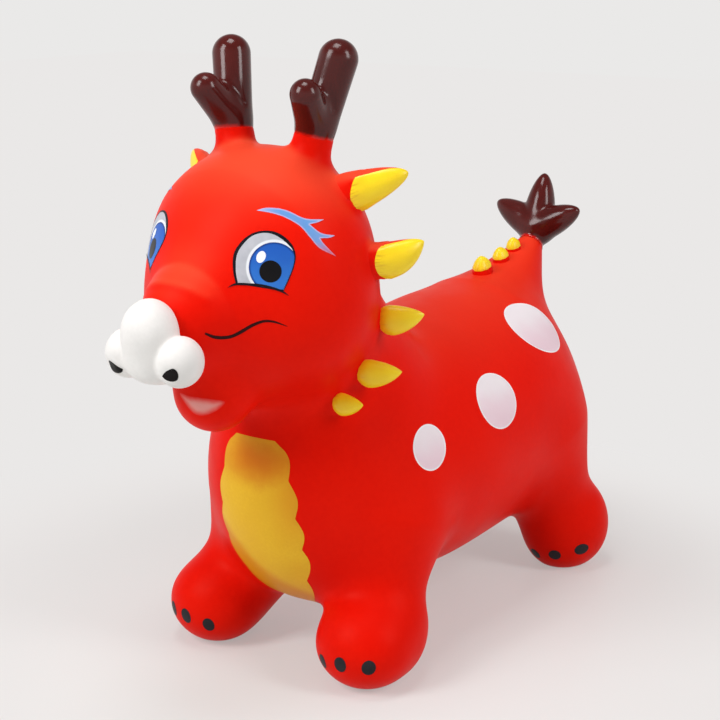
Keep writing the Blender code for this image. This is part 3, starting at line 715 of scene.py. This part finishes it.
SNOUT_FOLD = [at(*p) for p in ((-0.031, -0.188, 0.366), (-0.016, -0.197, 0.3755), (0, -0.2, 0.3785),
                               (0.016, -0.197, 0.3755), (0.031, -0.188, 0.366))]
FOLD_HEIGHT, FOLD_WIDTH = 0.0011, 0.004
skin = raised(standing(union(skin_lumps() + stem_lumps())), SNOUT_FOLD, FOLD_HEIGHT, FOLD_WIDTH)
SKIN_STEP, SKIN_MARGIN = 0.003, 0.012
VALVE_GAP = 0.0003


def opened(points, quads, centre, radius):
    """The net without the faces over a round hole in the belly, its rim drawn in to a circle."""
    arm = points[:, :2] - centre[:2]
    reach = np.linalg.norm(arm, axis=1)
    inside = (reach < radius) & (points[:, 2] < BARREL[2])
    gone = inside[quads].any(1)
    rim = np.intersect1d(quads[gone], quads[~gone])
    points[rim, :2] = centre[:2] + arm[rim] * (radius / reach[rim])[:, None]
    points[rim] = onto(skin, points[rim], 3, np.tile((0.0, 0.0, -1.0), (len(rim), 1)))
    used, index = np.unique(quads[~gone], return_inverse=True)
    return points[used], index.reshape(-1, 4)


def make_skin():
    low, high = np.array(cad_box[0]) - SKIN_MARGIN, np.array(cad_box[1]) + SKIN_MARGIN
    points, quads = net(skin, low, high, SKIN_STEP)
    points = relaxed(skin, points, quads)
    collar = np.array(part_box("valve_collar"))
    points, quads = opened(points, quads, collar.mean(0), np.ptp(collar[:, 0]) / 2 + VALVE_GAP)
    item = add("skin_coat", points, quads, [RED])
    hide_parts("body", "head", "tail", *[f"{end}_{side}_leg" for end in ("front", "rear")
                                                for side in ("left", "right")])


# Muzzle: a tall bulb in the middle, two low ones behind and below it, and one round each nostril
NOSTRIL = SNOUT_TIP + (0.0272, -0.0465, -0.0248)
NOSTRIL_RADII, NOSTRIL_BLEND = (0.0183, 0.0203, 0.0206), 0.004
NOSTRIL_POINT = (0.0305, -0.2335, 0.314)
DIP_DEPTH, DIP_WIDTH, DIP_LENGTH = 0.0015, 0.005, 0.003
MUZZLE_CENTRE, MUZZLE_REACH, MUZZLE_STEP = SNOUT_TIP + (0, -0.04, -0.015), 0.062, 0.002
muzzle = union([
    (ellipsoid(SNOUT_TIP + (0, -0.0505, -0.0055), (0.023, 0.0238, 0.0285)), 0),
    (ellipsoid(SNOUT_TIP + (0, -0.034, -0.0265), (0.033, 0.022, 0.0205)), 0.006),
    (ellipsoid(SNOUT_TIP + (0, -0.047, -0.0265), (0.026, 0.022, 0.02)), 0.01),
    (ellipsoid(NOSTRIL, NOSTRIL_RADII), NOSTRIL_BLEND),
    (ellipsoid(flip(NOSTRIL, -1), NOSTRIL_RADII), NOSTRIL_BLEND),
])
for _, way_out in SIDES:
    dip = flip(at(*NOSTRIL_POINT), way_out)
    muzzle = raised(muzzle, [dip, dip + (DIP_LENGTH * way_out, 0, 0)], -DIP_DEPTH, DIP_WIDTH)


def make_muzzle():
    item = field_piece("muzzle_coat", muzzle, MUZZLE_CENTRE, MUZZLE_REACH, MUZZLE_STEP, WHITE)
    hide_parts("muzzle")


# Antlers
ANTLER_MIDDLE, ANTLER_REACH, ANTLER_STEP = (0.008, 0, 0.035), 0.072, 0.0018
PAINT_LIFT, PAINT_LAYER = 0.0002, 0.0001


def make_antler(name, side):
    """A brown coat over the antler, from its edge on the root upwards, carried on the skin."""
    pivot, way = flip(at(*ANTLER_PIVOT), side), flip(ROOT_WAY, side)
    middle = pivot + flip(ANTLER_MIDDLE, side)
    form = antler_field(side)
    item = field_piece(f"{name}_coat", lambda p: form(p) - PAINT_LIFT, middle, ANTLER_REACH, ANTLER_STEP,
                       BROWN, None)
    edge = pivot + ANTLER_EDGE * way
    trimmed(item, edge, way)
    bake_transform(item)
    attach(item, "skin")
    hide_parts(name)


# Tail tuft: a heart on the tail's tip with three leaves
TUFT_HEART, HEART_RADII, HEART_BLEND = TAIL_TIP + (0, 0.009, 0.013), (0.02, 0.018, 0.018), 0.01
TUFT_TIPS = ((0, 0.023, 0.07), (0.05, 0.009, 0.037), (-0.05, 0.009, 0.037))
LEAF_RADIUS, LEAF_TIP, LEAF_BLEND = 0.0168, 0.001, 0.006
TUFT_MIDDLE, TUFT_REACH, TUFT_STEP = TAIL_TIP + (0, 0.005, 0.025), 0.075, 0.002
# Along the tail: where the tuft's stem starts, and where its brown does; the stem lies just over the red
TUFT_STEM, TUFT_EDGE, TUFT_LIFT = 0.75, 0.95, 0.0004


def make_tuft():
    radius = TAIL_RADII[0] + (TAIL_RADII[1] - TAIL_RADII[0]) * TUFT_STEM
    stem = capsule(tail_point(TUFT_STEM), TAIL_TIP, radius + TUFT_LIFT, TAIL_RADII[1] + TUFT_LIFT)
    lumps = [(stem, 0), (ellipsoid(TUFT_HEART, HEART_RADII), HEART_BLEND)]
    for tip in TUFT_TIPS:
        lumps.append((leaf(TUFT_HEART, TAIL_TIP + tip, LEAF_RADIUS, LEAF_TIP), LEAF_BLEND))
    item = field_piece("tuft_coat", union(lumps), TUFT_MIDDLE, TUFT_REACH, TUFT_STEP, BROWN)
    trimmed(item, tail_point(TUFT_EDGE), TAIL_WAY)
    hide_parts("tail_tuft")


def make_spike(node, foot, lean, length, radius, form, side=1, squash=MANE_SQUASH, edge=0.01, sink=0.008,
               egg=None, wrap=SPIKE_WRAP):
    """A thorn, yellow on its outer face and round its tip; its root and back are the skin's red."""
    bulge, point, sag, paint = form
    along = unit(lean)
    across = unit((along[1], -along[0], 0)) if abs(along[0]) > 0.01 else np.array((-1.0, 0, 0))
    down = np.cross(along, across)
    round_all = paint == ALL_ROUND

    def spread(more):
        """Angles round the spike; the painted run takes up more of them towards the tip."""
        if round_all:
            return np.radians(np.linspace(*paint, PAINTED_SIDES + 1)[:-1])
        top, low = paint[0] - more, paint[1] + more
        run = np.linspace(top, low, PAINTED_SIDES + 1)
        return np.radians(np.concatenate((run, np.linspace(low, top + 360, BARE_SIDES + 1)[1:-1])))

    angles = spread(0)
    middle = math.radians(sum(paint) / 2)
    edge = edge + (0 if round_all else EDGE_SWEEP) * (1 - np.cos(angles - middle))
    deep = sink / length
    points, chart = [], []
    for row in range(ROWS):
        if row <= ROOT_ROWS:
            share = -deep + (edge + deep) * row / ROOT_ROWS
        else:
            far = (row - ROOT_ROWS) / BODY_ROWS
            share = edge + (1 - edge) * (1 - (1 - far) ** ROW_CROWDING)
            angles = spread(wrap * far ** 2)
        along_it = np.clip(share, 0, 1)
        size = radius * (1 - along_it ** bulge) ** point
        if egg:
            inward = np.clip(1 - (share + egg[0]) / egg[1], 0, 1)
            size *= np.sqrt(np.maximum(1 - inward ** 2, LEAST_ROOT))
        ribs = RIB_HEIGHT * np.cos(RIBS * angles) * np.exp(-((share - edge - RIB_START) / RIB_RUN) ** 2)
        groove = EDGE_GROOVE if row == ROOT_ROWS else 0
        size = size * (1 + ribs - groove)
        drop = sag * radius * 4 * along_it * (1 - along_it)
        centre = share[:, None] * length * along + drop[:, None] * down
        wide, tall = squash * size * np.cos(angles), size * np.sin(angles)
        points.append(centre + wide[:, None] * across + tall[:, None] * down)
        from_edge = (share - edge) * length * 1000
        chart.append(np.stack((share * length * 1000, np.degrees(angles), from_edge), 1))
    points = np.concatenate(points + [(length * along)[None]]) + foot
    chart = np.concatenate(chart + [[(length * 1000, 0, length * 1000)]])
    count, faces, yellow = len(angles), [], []
    for row in range(ROWS):
        last = row == ROWS - 1
        for i in range(count):
            a, b = row * count + i, row * count + (i + 1) % count
            faces.append((a, b, len(points) - 1) if last else (a, b, b + count, a + count))
            yellow.append(row >= ROOT_ROWS and i < PAINTED_SIDES)
    points[:, 0] *= side
    if side < 0:
        faces = [face[::-1] for face in faces]
    item = add(f"{node}_coat", points, faces, [RED, YELLOW])
    item.data.polygons.foreach_set("material_index", np.array(yellow, np.int32))
    keep_chart(item, chart)
    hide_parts(node)


def make_spikes():
    for number, (foot, (_, _, *size), form) in enumerate(zip(MANE_SEATS, MANE, MANE_FORMS), start=1):
        more = SMALL_ROOT if form[-1] == ALL_ROUND else {}
        make_spike(f"mane_spike_left_{number}", foot, *size, form, **more)
        make_spike(f"mane_spike_right_{number}", foot, *size, form, -1, wrap=RIGHT_SPIKE_WRAP, **more)
    front = np.array((0, -TAIL_WAY[2], TAIL_WAY[1]))
    for number, (share, length, radius, edge) in enumerate(TAIL_SPIKES, start=1):
        foot = seat(tail_point(share), front)
        make_spike(f"tail_spike_{number}", foot, TAIL_SPIKE_LEAN, length, radius, TAIL_SPIKE_FORM,
                   squash=TAIL_SQUASH, edge=edge)


# Paint
OUTLINE_STEP, LEAST_WIDTH = 0.9, 0.1
WIDE_SPACING = 4.0
LAY_ROUNDS, SPLIT_ROUNDS = 5, 8


def spline(points, closed=False):
    """Points along a smooth curve through the given ones."""
    points = np.array(points, float)
    count = len(points)
    out = []
    for i in range(count if closed else count - 1):
        a, b = points[i], points[(i + 1) % count]
        before = points[(i - 1) % count] if closed or i else 2 * a - b
        after = points[(i + 2) % count] if closed or i + 2 < count else 2 * b - a
        for t in np.arange(0, 1, 1 / max(2, math.ceil(np.linalg.norm(b - a) / OUTLINE_STEP))):
            out.append(0.5 * (2 * a + (b - before) * t + (2 * before - 5 * a + 4 * b - after) * t * t
                              + (3 * a - before - 3 * b + after) * t ** 3))
    return np.array(out if closed else out + [points[-1]])


def cornered(points, corners):
    """A closed outline that is smooth except at the numbered points."""
    out = []
    for first, last in zip(corners, corners[1:] + corners[:1]):
        run = points[first:last + 1] if last > first else points[first:] + points[:last + 1]
        out.append(spline(run)[:-1])
    return np.concatenate(out)


def oval(u, v, a, b, tilt=0.0, count=56):
    angle = np.linspace(0, 2 * math.pi, count, endpoint=False)
    turn = math.radians(tilt)
    x, y = a * np.cos(angle), b * np.sin(angle)
    return np.stack((u + x * math.cos(turn) - y * math.sin(turn),
                     v + x * math.sin(turn) + y * math.cos(turn)), 1)


def stroke(points, widths):
    """The outline of a line whose width changes along it."""
    path = spline(np.column_stack((points, widths)))
    way = np.gradient(path[:, :2], axis=0)
    way /= np.linalg.norm(way, axis=1, keepdims=True)
    half = np.stack((-way[:, 1], way[:, 0]), 1) * np.maximum(path[:, 2:], LEAST_WIDTH) / 2
    return np.concatenate((path[:, :2] + half, (path[:, :2] - half)[::-1]))


def clipped(outline, window):
    """The part of a convex outline inside a convex window; both run anticlockwise."""
    for a, b in zip(window, np.roll(window, -1, axis=0)):
        side = (b[0] - a[0]) * (outline[:, 1] - a[1]) - (b[1] - a[1]) * (outline[:, 0] - a[0])
        kept = []
        for i, point in enumerate(outline):
            before, s, t = outline[i - 1], side[i - 1], side[i]
            if (s < 0) != (t < 0):
                kept.append(before + (point - before) * s / (s - t))
            if t >= 0:
                kept.append(point)
        outline = np.array(kept)
    return outline


def chart_at(anchor, normal, side=1, field=None):
    """Lays flat points, in millimetres right and up from an anchor as seen from outside, on a field."""
    anchor, normal = flip(at(*anchor), side), flip(unit(normal), side)
    up = unit(np.array((0, 0, 1)) - normal[2] * normal)
    right = np.cross(up, normal) * side

    def place(flat):
        surface = field or skin
        start = anchor + (flat[:, :1] * right + flat[:, 1:2] * up) / 1000
        return onto(surface, start, LAY_ROUNDS, np.tile(normal, (len(flat), 1))), surface
    return place


def coat(name, outline, place, material, layer=0, spacing=2.4):
    """A thin coat of paint inside an outline, laid on the surface by place."""
    shape = bmesh.new()
    shape.faces.new([shape.verts.new((u, v, 0)) for u, v in outline])
    bmesh.ops.triangulate(shape, faces=shape.faces[:])
    for _ in range(SPLIT_ROUNDS):
        long = [edge for edge in shape.edges if edge.calc_length() > spacing and not edge.is_boundary]
        if not long:
            break
        bmesh.ops.subdivide_edges(shape, edges=long, cuts=1)
        bmesh.ops.triangulate(shape, faces=[face for face in shape.faces if len(face.verts) > 3])
    shape.verts.index_update()
    flat = np.array([vertex.co[:2] for vertex in shape.verts])
    faces = [[vertex.index for vertex in face.verts] for face in shape.faces]
    shape.free()
    points, surface = place(flat)
    out = normals(surface, points)
    points = points + out * (PAINT_LIFT + PAINT_LAYER * layer)
    a, b, c = (points[list(corner)] for corner in zip(*faces))
    if (np.cross(b - a, c - a) * out[[face[0] for face in faces]]).sum() < 0:
        faces = [face[::-1] for face in faces]
    item = add(name, points, faces, [material])
    edge = np.min(np.linalg.norm(flat[:, None] - np.asarray(outline)[None], axis=2), axis=1)
    keep_chart(item, np.column_stack((flat, edge)))


# Face: where each part is laid, as a point and a direction, and the left side's outlines
EYE_PLACE = (0.063, -0.149, 0.394), (0.601, -0.762, 0.241)
BROW_PLACE = (0.074, -0.125, 0.424), (0.679, -0.589, 0.439)
SMILE_PLACE = (0.053, -0.166, 0.341), (0.666, -0.736, -0.119)
NOSTRIL_PLACE = NOSTRIL_POINT, (0.2, -0.88, -0.42)
LIP_PLACE = (0.016, -0.179, 0.277), (0.44, -0.87, -0.22)
EYE_LINE = [
    (-26.3, -16.8), (-28.3, -6), (-27.9, 5.5), (-23.8, 13.8), (-16, 21.2), (-6.5, 24.7), (3.5, 24.4),
    (12, 20.4), (18.6, 13.4), (21.2, 5.5), (19.9, -3.5), (16.6, -12), (11.5, -22.8), (0.5, -21.2),
    (-12.5, -19),
]
EYE_WHITE = [
    (-24.6, -16), (-26, -7), (-25.3, 5), (-20.8, 13.4), (-13.2, 20.6), (-3.6, 23.2), (5, 21.4),
    (13, 16), (18.8, 9.5), (20.1, 3), (18.5, -5), (15.4, -12.5), (11.2, -21.9), (1.1, -20.4),
    (-12.5, -18.2),
]
EYE_CORNERS = [0, 12]
PUPIL = (1.2, -7.4, 8.8, 8.7)
GLINT = (-6.1, 4.1, 3.5, 4.9, -24, 32)
LOWER_LID = [(-32.4, -19.7), (-26.1, -17.2), (-15, -17.5), (-3.2, -18.8), (9.3, -22.8), (15.2, -26.4)]
LOWER_LID_WIDTHS = [0.3, 1.6, 1.8, 1.8, 1.6, 0.3]
BROW = [
    (-31.5, 12.2), (-24, 13.5), (-13.3, 11.8), (-5.6, 8.7), (3, 3.8), (10.1, 2.2), (22.1, 2.5),
    (16.6, -0.1), (9.2, -2.2), (18.3, -9), (30.5, -10.3), (25, -12.5), (17, -13.3), (20.1, -17.8),
    (30.1, -27), (16.4, -21.5), (8.7, -12.8), (1.2, -3.5), (-10.1, 4.2), (-20, 8.6),
]
BROW_CORNERS = [0, 6, 8, 10, 12, 14]
SMILE = [
    (-32.9, 1), (-25.1, -3.1), (-14.7, -4.6), (-5.6, -2), (5, 4), (14.2, 7), (22.7, 6),
    (32.6, 2),
]
SMILE_WIDTHS = [1.6, 2.7, 2.8, 2.8, 2.5, 2, 1.5, 0.3]
LIP = [
    (-22.4, 0.8), (-12.2, 2), (-3.1, 2.6), (6.9, 1.9), (17, -0.8), (14.3, -5.4), (7.5, -9.9),
    (-1.4, -13.6), (-9.4, -13.2), (-16.2, -7.2),
]
NOSTRIL_MARK = [
    (-5.8, -0.4), (-2.6, 3.4), (0.8, 6), (5.2, 7.2), (7.9, 4.4), (8, -0.2), (5.8, -3.7), (0.9, -4.5),
    (-3.6, -3.2),
]
# The right side is painted by hand too, and a little elsewhere
NO_SHIFT = (0, 0)
RIGHT_EYE_SHIFT, RIGHT_BROW_SHIFT, RIGHT_NOSTRIL_SHIFT = (-10.5, 6.5), (16.0, 6.0), (-5.0, -3.0)


def make_eye(word, side):
    """Both eyes glance the same way, so the right one isn't a mirror image."""
    shift = NO_SHIFT if side > 0 else RIGHT_EYE_SHIFT

    def drawn(outline):
        return np.array(outline)[::side] * (side, 1) + shift

    place = chart_at(*EYE_PLACE, side)
    ball = drawn(cornered(EYE_WHITE, EYE_CORNERS))[::-1]
    iris = drawn(oval(IRIS_U, IRIS_V, IRIS_RADIUS, IRIS_RADIUS, 0, 72))
    coat(f"eye_{word}_line", drawn(cornered(EYE_LINE, EYE_CORNERS)), place, plain["line"])
    coat(f"eye_{word}_white", ball, place, eye_white_look(word, side, shift), 1)
    coat(f"eye_{word}_iris", clipped(iris, ball), place, iris_look(word, side, shift), 2)
    coat(f"eye_{word}_pupil", drawn(oval(*PUPIL)), place, plain["pupil"], 3)
    coat(f"eye_{word}_glint", drawn(oval(*GLINT)), place, plain["glint"], 3)
    coat(f"eye_{word}_lower_lid", drawn(stroke(LOWER_LID, LOWER_LID_WIDTHS)), place, plain["line"], 3)


def make_face():
    blue = brow_look()
    for word, side in SIDES:
        make_eye(word, side)
        brow = cornered(BROW, BROW_CORNERS) + (NO_SHIFT if side > 0 else RIGHT_BROW_SHIFT)
        coat(f"brow_{word}", brow, chart_at(*BROW_PLACE, side), blue)
        coat(f"smile_{word}", stroke(SMILE, SMILE_WIDTHS), chart_at(*SMILE_PLACE, side), plain["smile"])
        mark = cornered(NOSTRIL_MARK, [0]) + (NO_SHIFT if side > 0 else RIGHT_NOSTRIL_SHIFT)
        place = chart_at(*NOSTRIL_PLACE, side, muzzle)
        coat(f"nostril_{word}", mark, place, plain["nostril"])
    coat("lip", spline(LIP, True), chart_at(*LIP_PLACE), lip_look())


# Chest patch: half width by the distance down the middle line, in millimetres
CHEST_TOP, CHEST_LENGTH, CHEST_STEP = at(0, -0.0967, 0.228), 250, 1.2
CHEST_DOWN = (3, 5, 8, 13, 20, 36, 54, 72, 90, 106, 120, 135, 160, 190, 215, 235, 246)
CHEST_HALF = (20, 26, 30, 34, 37, 40.5, 44.5, 45.5, 47, 46.5, 46, 43, 36, 28, 21, 11, 3)
SCALLOP_NOTCHES = np.array((-6, 36, 72, 106, 148, 190, 232, 274))
SCALLOP_DEPTH, SCALLOP_MEAN = 4.0, 0.65
SMOOTHED = 4
RIGHT_SHARE = 0.83


def middle_line(start, count):
    """Points a millimetre apart down the chest and under the belly, and the skin's normals there."""
    points = [onto(skin, np.array([start]), 3)[0]]
    for _ in range(count):
        way = normals(skin, points[-1][None])[0]
        step = points[-1] + 0.001 * np.array((0, -way[2], way[1]))
        points.append(onto(skin, step[None], 1)[0] * (0, 1, 1))
    points = np.array(points)
    return points, normals(skin, points)


def make_chest():
    line, ways = middle_line(CHEST_TOP, CHEST_LENGTH)
    index = np.arange(len(line))

    def place(flat):
        down = np.clip(flat[:, 1], 0, len(line) - 1)
        start = np.stack([np.interp(down, index, line[:, i]) for i in range(3)], 1)
        way = np.stack([np.interp(down, index, ways[:, i]) for i in range(3)], 1)
        start[:, 0] += flat[:, 0] / 1000
        return onto(skin, start, LAY_ROUNDS, way), skin

    down = np.arange(CHEST_DOWN[0], CHEST_DOWN[-1] + 0.5, CHEST_STEP)
    half = np.interp(down, CHEST_DOWN, CHEST_HALF)
    window = 2 * SMOOTHED + 1
    half = np.convolve(np.pad(half, SMOOTHED, mode="edge"), np.ones(window) / window, "valid")
    turn = np.interp(down, SCALLOP_NOTCHES, np.arange(len(SCALLOP_NOTCHES)))
    half += SCALLOP_DEPTH * (np.abs(np.sin(math.pi * turn)) - SCALLOP_MEAN)
    left = np.column_stack((np.maximum(half, 1.0), down))
    right = (left * (-RIGHT_SHARE, 1))[::-1]
    coat("chest_patch", np.concatenate((left, right)), place, chest_look(), spacing=WIDE_SPACING)


# Claws and spots: where each is laid, as a point and a direction, and its oval
CLAWS = {
    "front": (((0.066, -0.0865, 0.028), (-0.41, -0.868, -0.281), (5.6, 7.2)),
              ((0.089, -0.092, 0.033), (0.04, -0.992, -0.12), (6.0, 7.4)),
              ((0.1134, -0.083, 0.0335), (0.599, -0.793, -0.108), (6.2, 7.2))),
    "rear": (((0.077, 0.27, 0.018), (-0.25, -0.8, -0.54), (6.4, 6.4)),
             ((0.1005, 0.268, 0.022), (0.321, -0.87, -0.374), (6.4, 6.6)),
             ((0.122, 0.285, 0.0285), (0.819, -0.511, -0.26), (8.4, 6.6))),
}
CLAW_TILT, CLAW_POINTS = -8, 36
# The right front foot's outer claw sits further in
RIGHT_TOE, RIGHT_TOE_SHIFT = ("front", "right", 3), 5.0
SPOTS = (((0.107, 0.019, 0.205), (0.957, -0.11, 0.269), (0.4, 0.1, 21.8, 20.8, -10)),
         ((0.111, 0.128, 0.224), (0.902, -0.02, 0.431), (1.0, 0.0, 30.0, 27.0, -5)),
         ((0.082, 0.241, 0.267), (0.69, 0.07, 0.72), (9.5, 1.0, 42.0, 30.5, -20)))


def make_marks():
    spot = spot_look()
    for word, side in SIDES:
        for number, (anchor, normal, shape) in enumerate(SPOTS, start=1):
            place = chart_at(anchor, normal, side)
            coat(f"spot_{word}_{number}", oval(*shape), place, spot, spacing=WIDE_SPACING)
        for end, claws in CLAWS.items():
            for number, (anchor, normal, size) in enumerate(claws, start=1):
                place = chart_at(anchor, normal, side)
                inward = RIGHT_TOE_SHIFT if (end, word, number) == RIGHT_TOE else 0
                outline = oval(-inward, 0, *size, CLAW_TILT, CLAW_POINTS)
                coat(f"claw_{end}_{word}_{number}", outline, place, plain["claw"])


# Set: lamps as place, target, size and watts
LAMPS = {
    "key": ((-0.7, -1.9, 1.7), (0, -0.05, 0.3), (0.9, 1.3), 38),
    "side": ((1.9, 0.1, 1.4), (0, 0, 0.3), (0.6, 1.2), 19),
    "top": ((0.0, -0.35, 2.3), (0, -0.05, 0.2), (0.8, 0.8), 17),
}
WORLD_COLOUR, WORLD_STRENGTH = (1, 0.99, 0.98, 1), 0.26
# The backdrop dims between two heights, from one strength to another: glossy tops mirror less of it
OVERHEAD = (0.25, 0.6, 1.0, 0.3)
FLOOR_HALF = 6
CAMERA = (0.848, -1.114, 0.639)
CAMERA_TURN, CAMERA_DROP, CAMERA_LENS, CAMERA_SENSOR = 35.81, 14.66, 80, 36


def make_floor():
    """Runs out, away from the object, into one flat colour that lights nothing; near the object that
    colour is tinted pink, a painted red bounce from the skin.
    """
    look = Look("floor", 0.3, specular=0.06)
    look.colour(look.mix(look.noise(3, 2), *FLOOR_PAINT))
    reach = look.fed("VectorMath", (look.place,), operation="LENGTH")["Value"]
    away = look.span(reach, 0.2, 0.62)
    # Near the object the shown colour turns pink: a painted bounce of the red skin
    backdrop_and_bounce = look.fed("Emission", (look.mix(away, FLOOR_PAINTED_BOUNCE, FLOOR_FAR),))
    look.show("Material Output", look.shader.outputs, backdrop_and_bounce, look.span(away, 0.0, 1.0, 0.45))
    corners = [(x * FLOOR_HALF, y * FLOOR_HALF, 0) for x, y in ((-1, -1), (1, -1), (1, 1), (-1, 1))]
    item = add("floor", corners, [(0, 1, 2, 3)], [look.material], None, False)


def make_world():
    """Soft light from all round, and a pale backdrop that lights nothing."""
    scene.world = bpy.data.worlds.new("studio")
    world = Nodes(scene.world)
    light = world.tree.nodes["Background"]
    light.inputs["Color"].default_value = WORLD_COLOUR
    light.inputs["Strength"].default_value = WORLD_STRENGTH
    height = world.apart(world.node("TexCoord").outputs["Generated"])[2]
    strength = world.span(height, *OVERHEAD, "LINEAR")
    shown = world.fed("Background", (linear(BACKDROP), strength))
    world.show("World Output", light.outputs, shown)


def make_lamp(name, place, target, size, power):
    lamp = bpy.data.lights.new(name, "AREA")
    lamp.shape = "RECTANGLE"
    lamp.size, lamp.size_y = size
    lamp.energy = power
    item = placed(name, lamp)
    item.location = place
    way = np.array(target) - np.array(place)
    item.rotation_euler = Vector(way).to_track_quat("-Z", "Y").to_euler()


def make_camera():
    lens = bpy.data.cameras.new("camera")
    lens.lens, lens.sensor_width = CAMERA_LENS, CAMERA_SENSOR
    camera = placed("camera", lens)
    camera.location = at(*CAMERA)
    camera.rotation_euler = (math.radians(90 - CAMERA_DROP), 0, math.radians(CAMERA_TURN))
    scene.camera = camera
    scene.view_settings.view_transform = "Standard"


def main():
    make_floor()
    make_world()
    for name, lamp in LAMPS.items():
        make_lamp(name, *lamp)
    make_camera()
    make_skin()
    make_muzzle()
    for word, side in SIDES:
        make_antler(f"antler_{word}", side)
    make_tuft()
    make_spikes()
    make_face()
    make_chest()
    make_marks()
    for node in ("valve_collar", "valve_plug"):
        frame["nodes"][node].data.materials.clear()
        frame["nodes"][node].data.materials.append(GREY)


main()
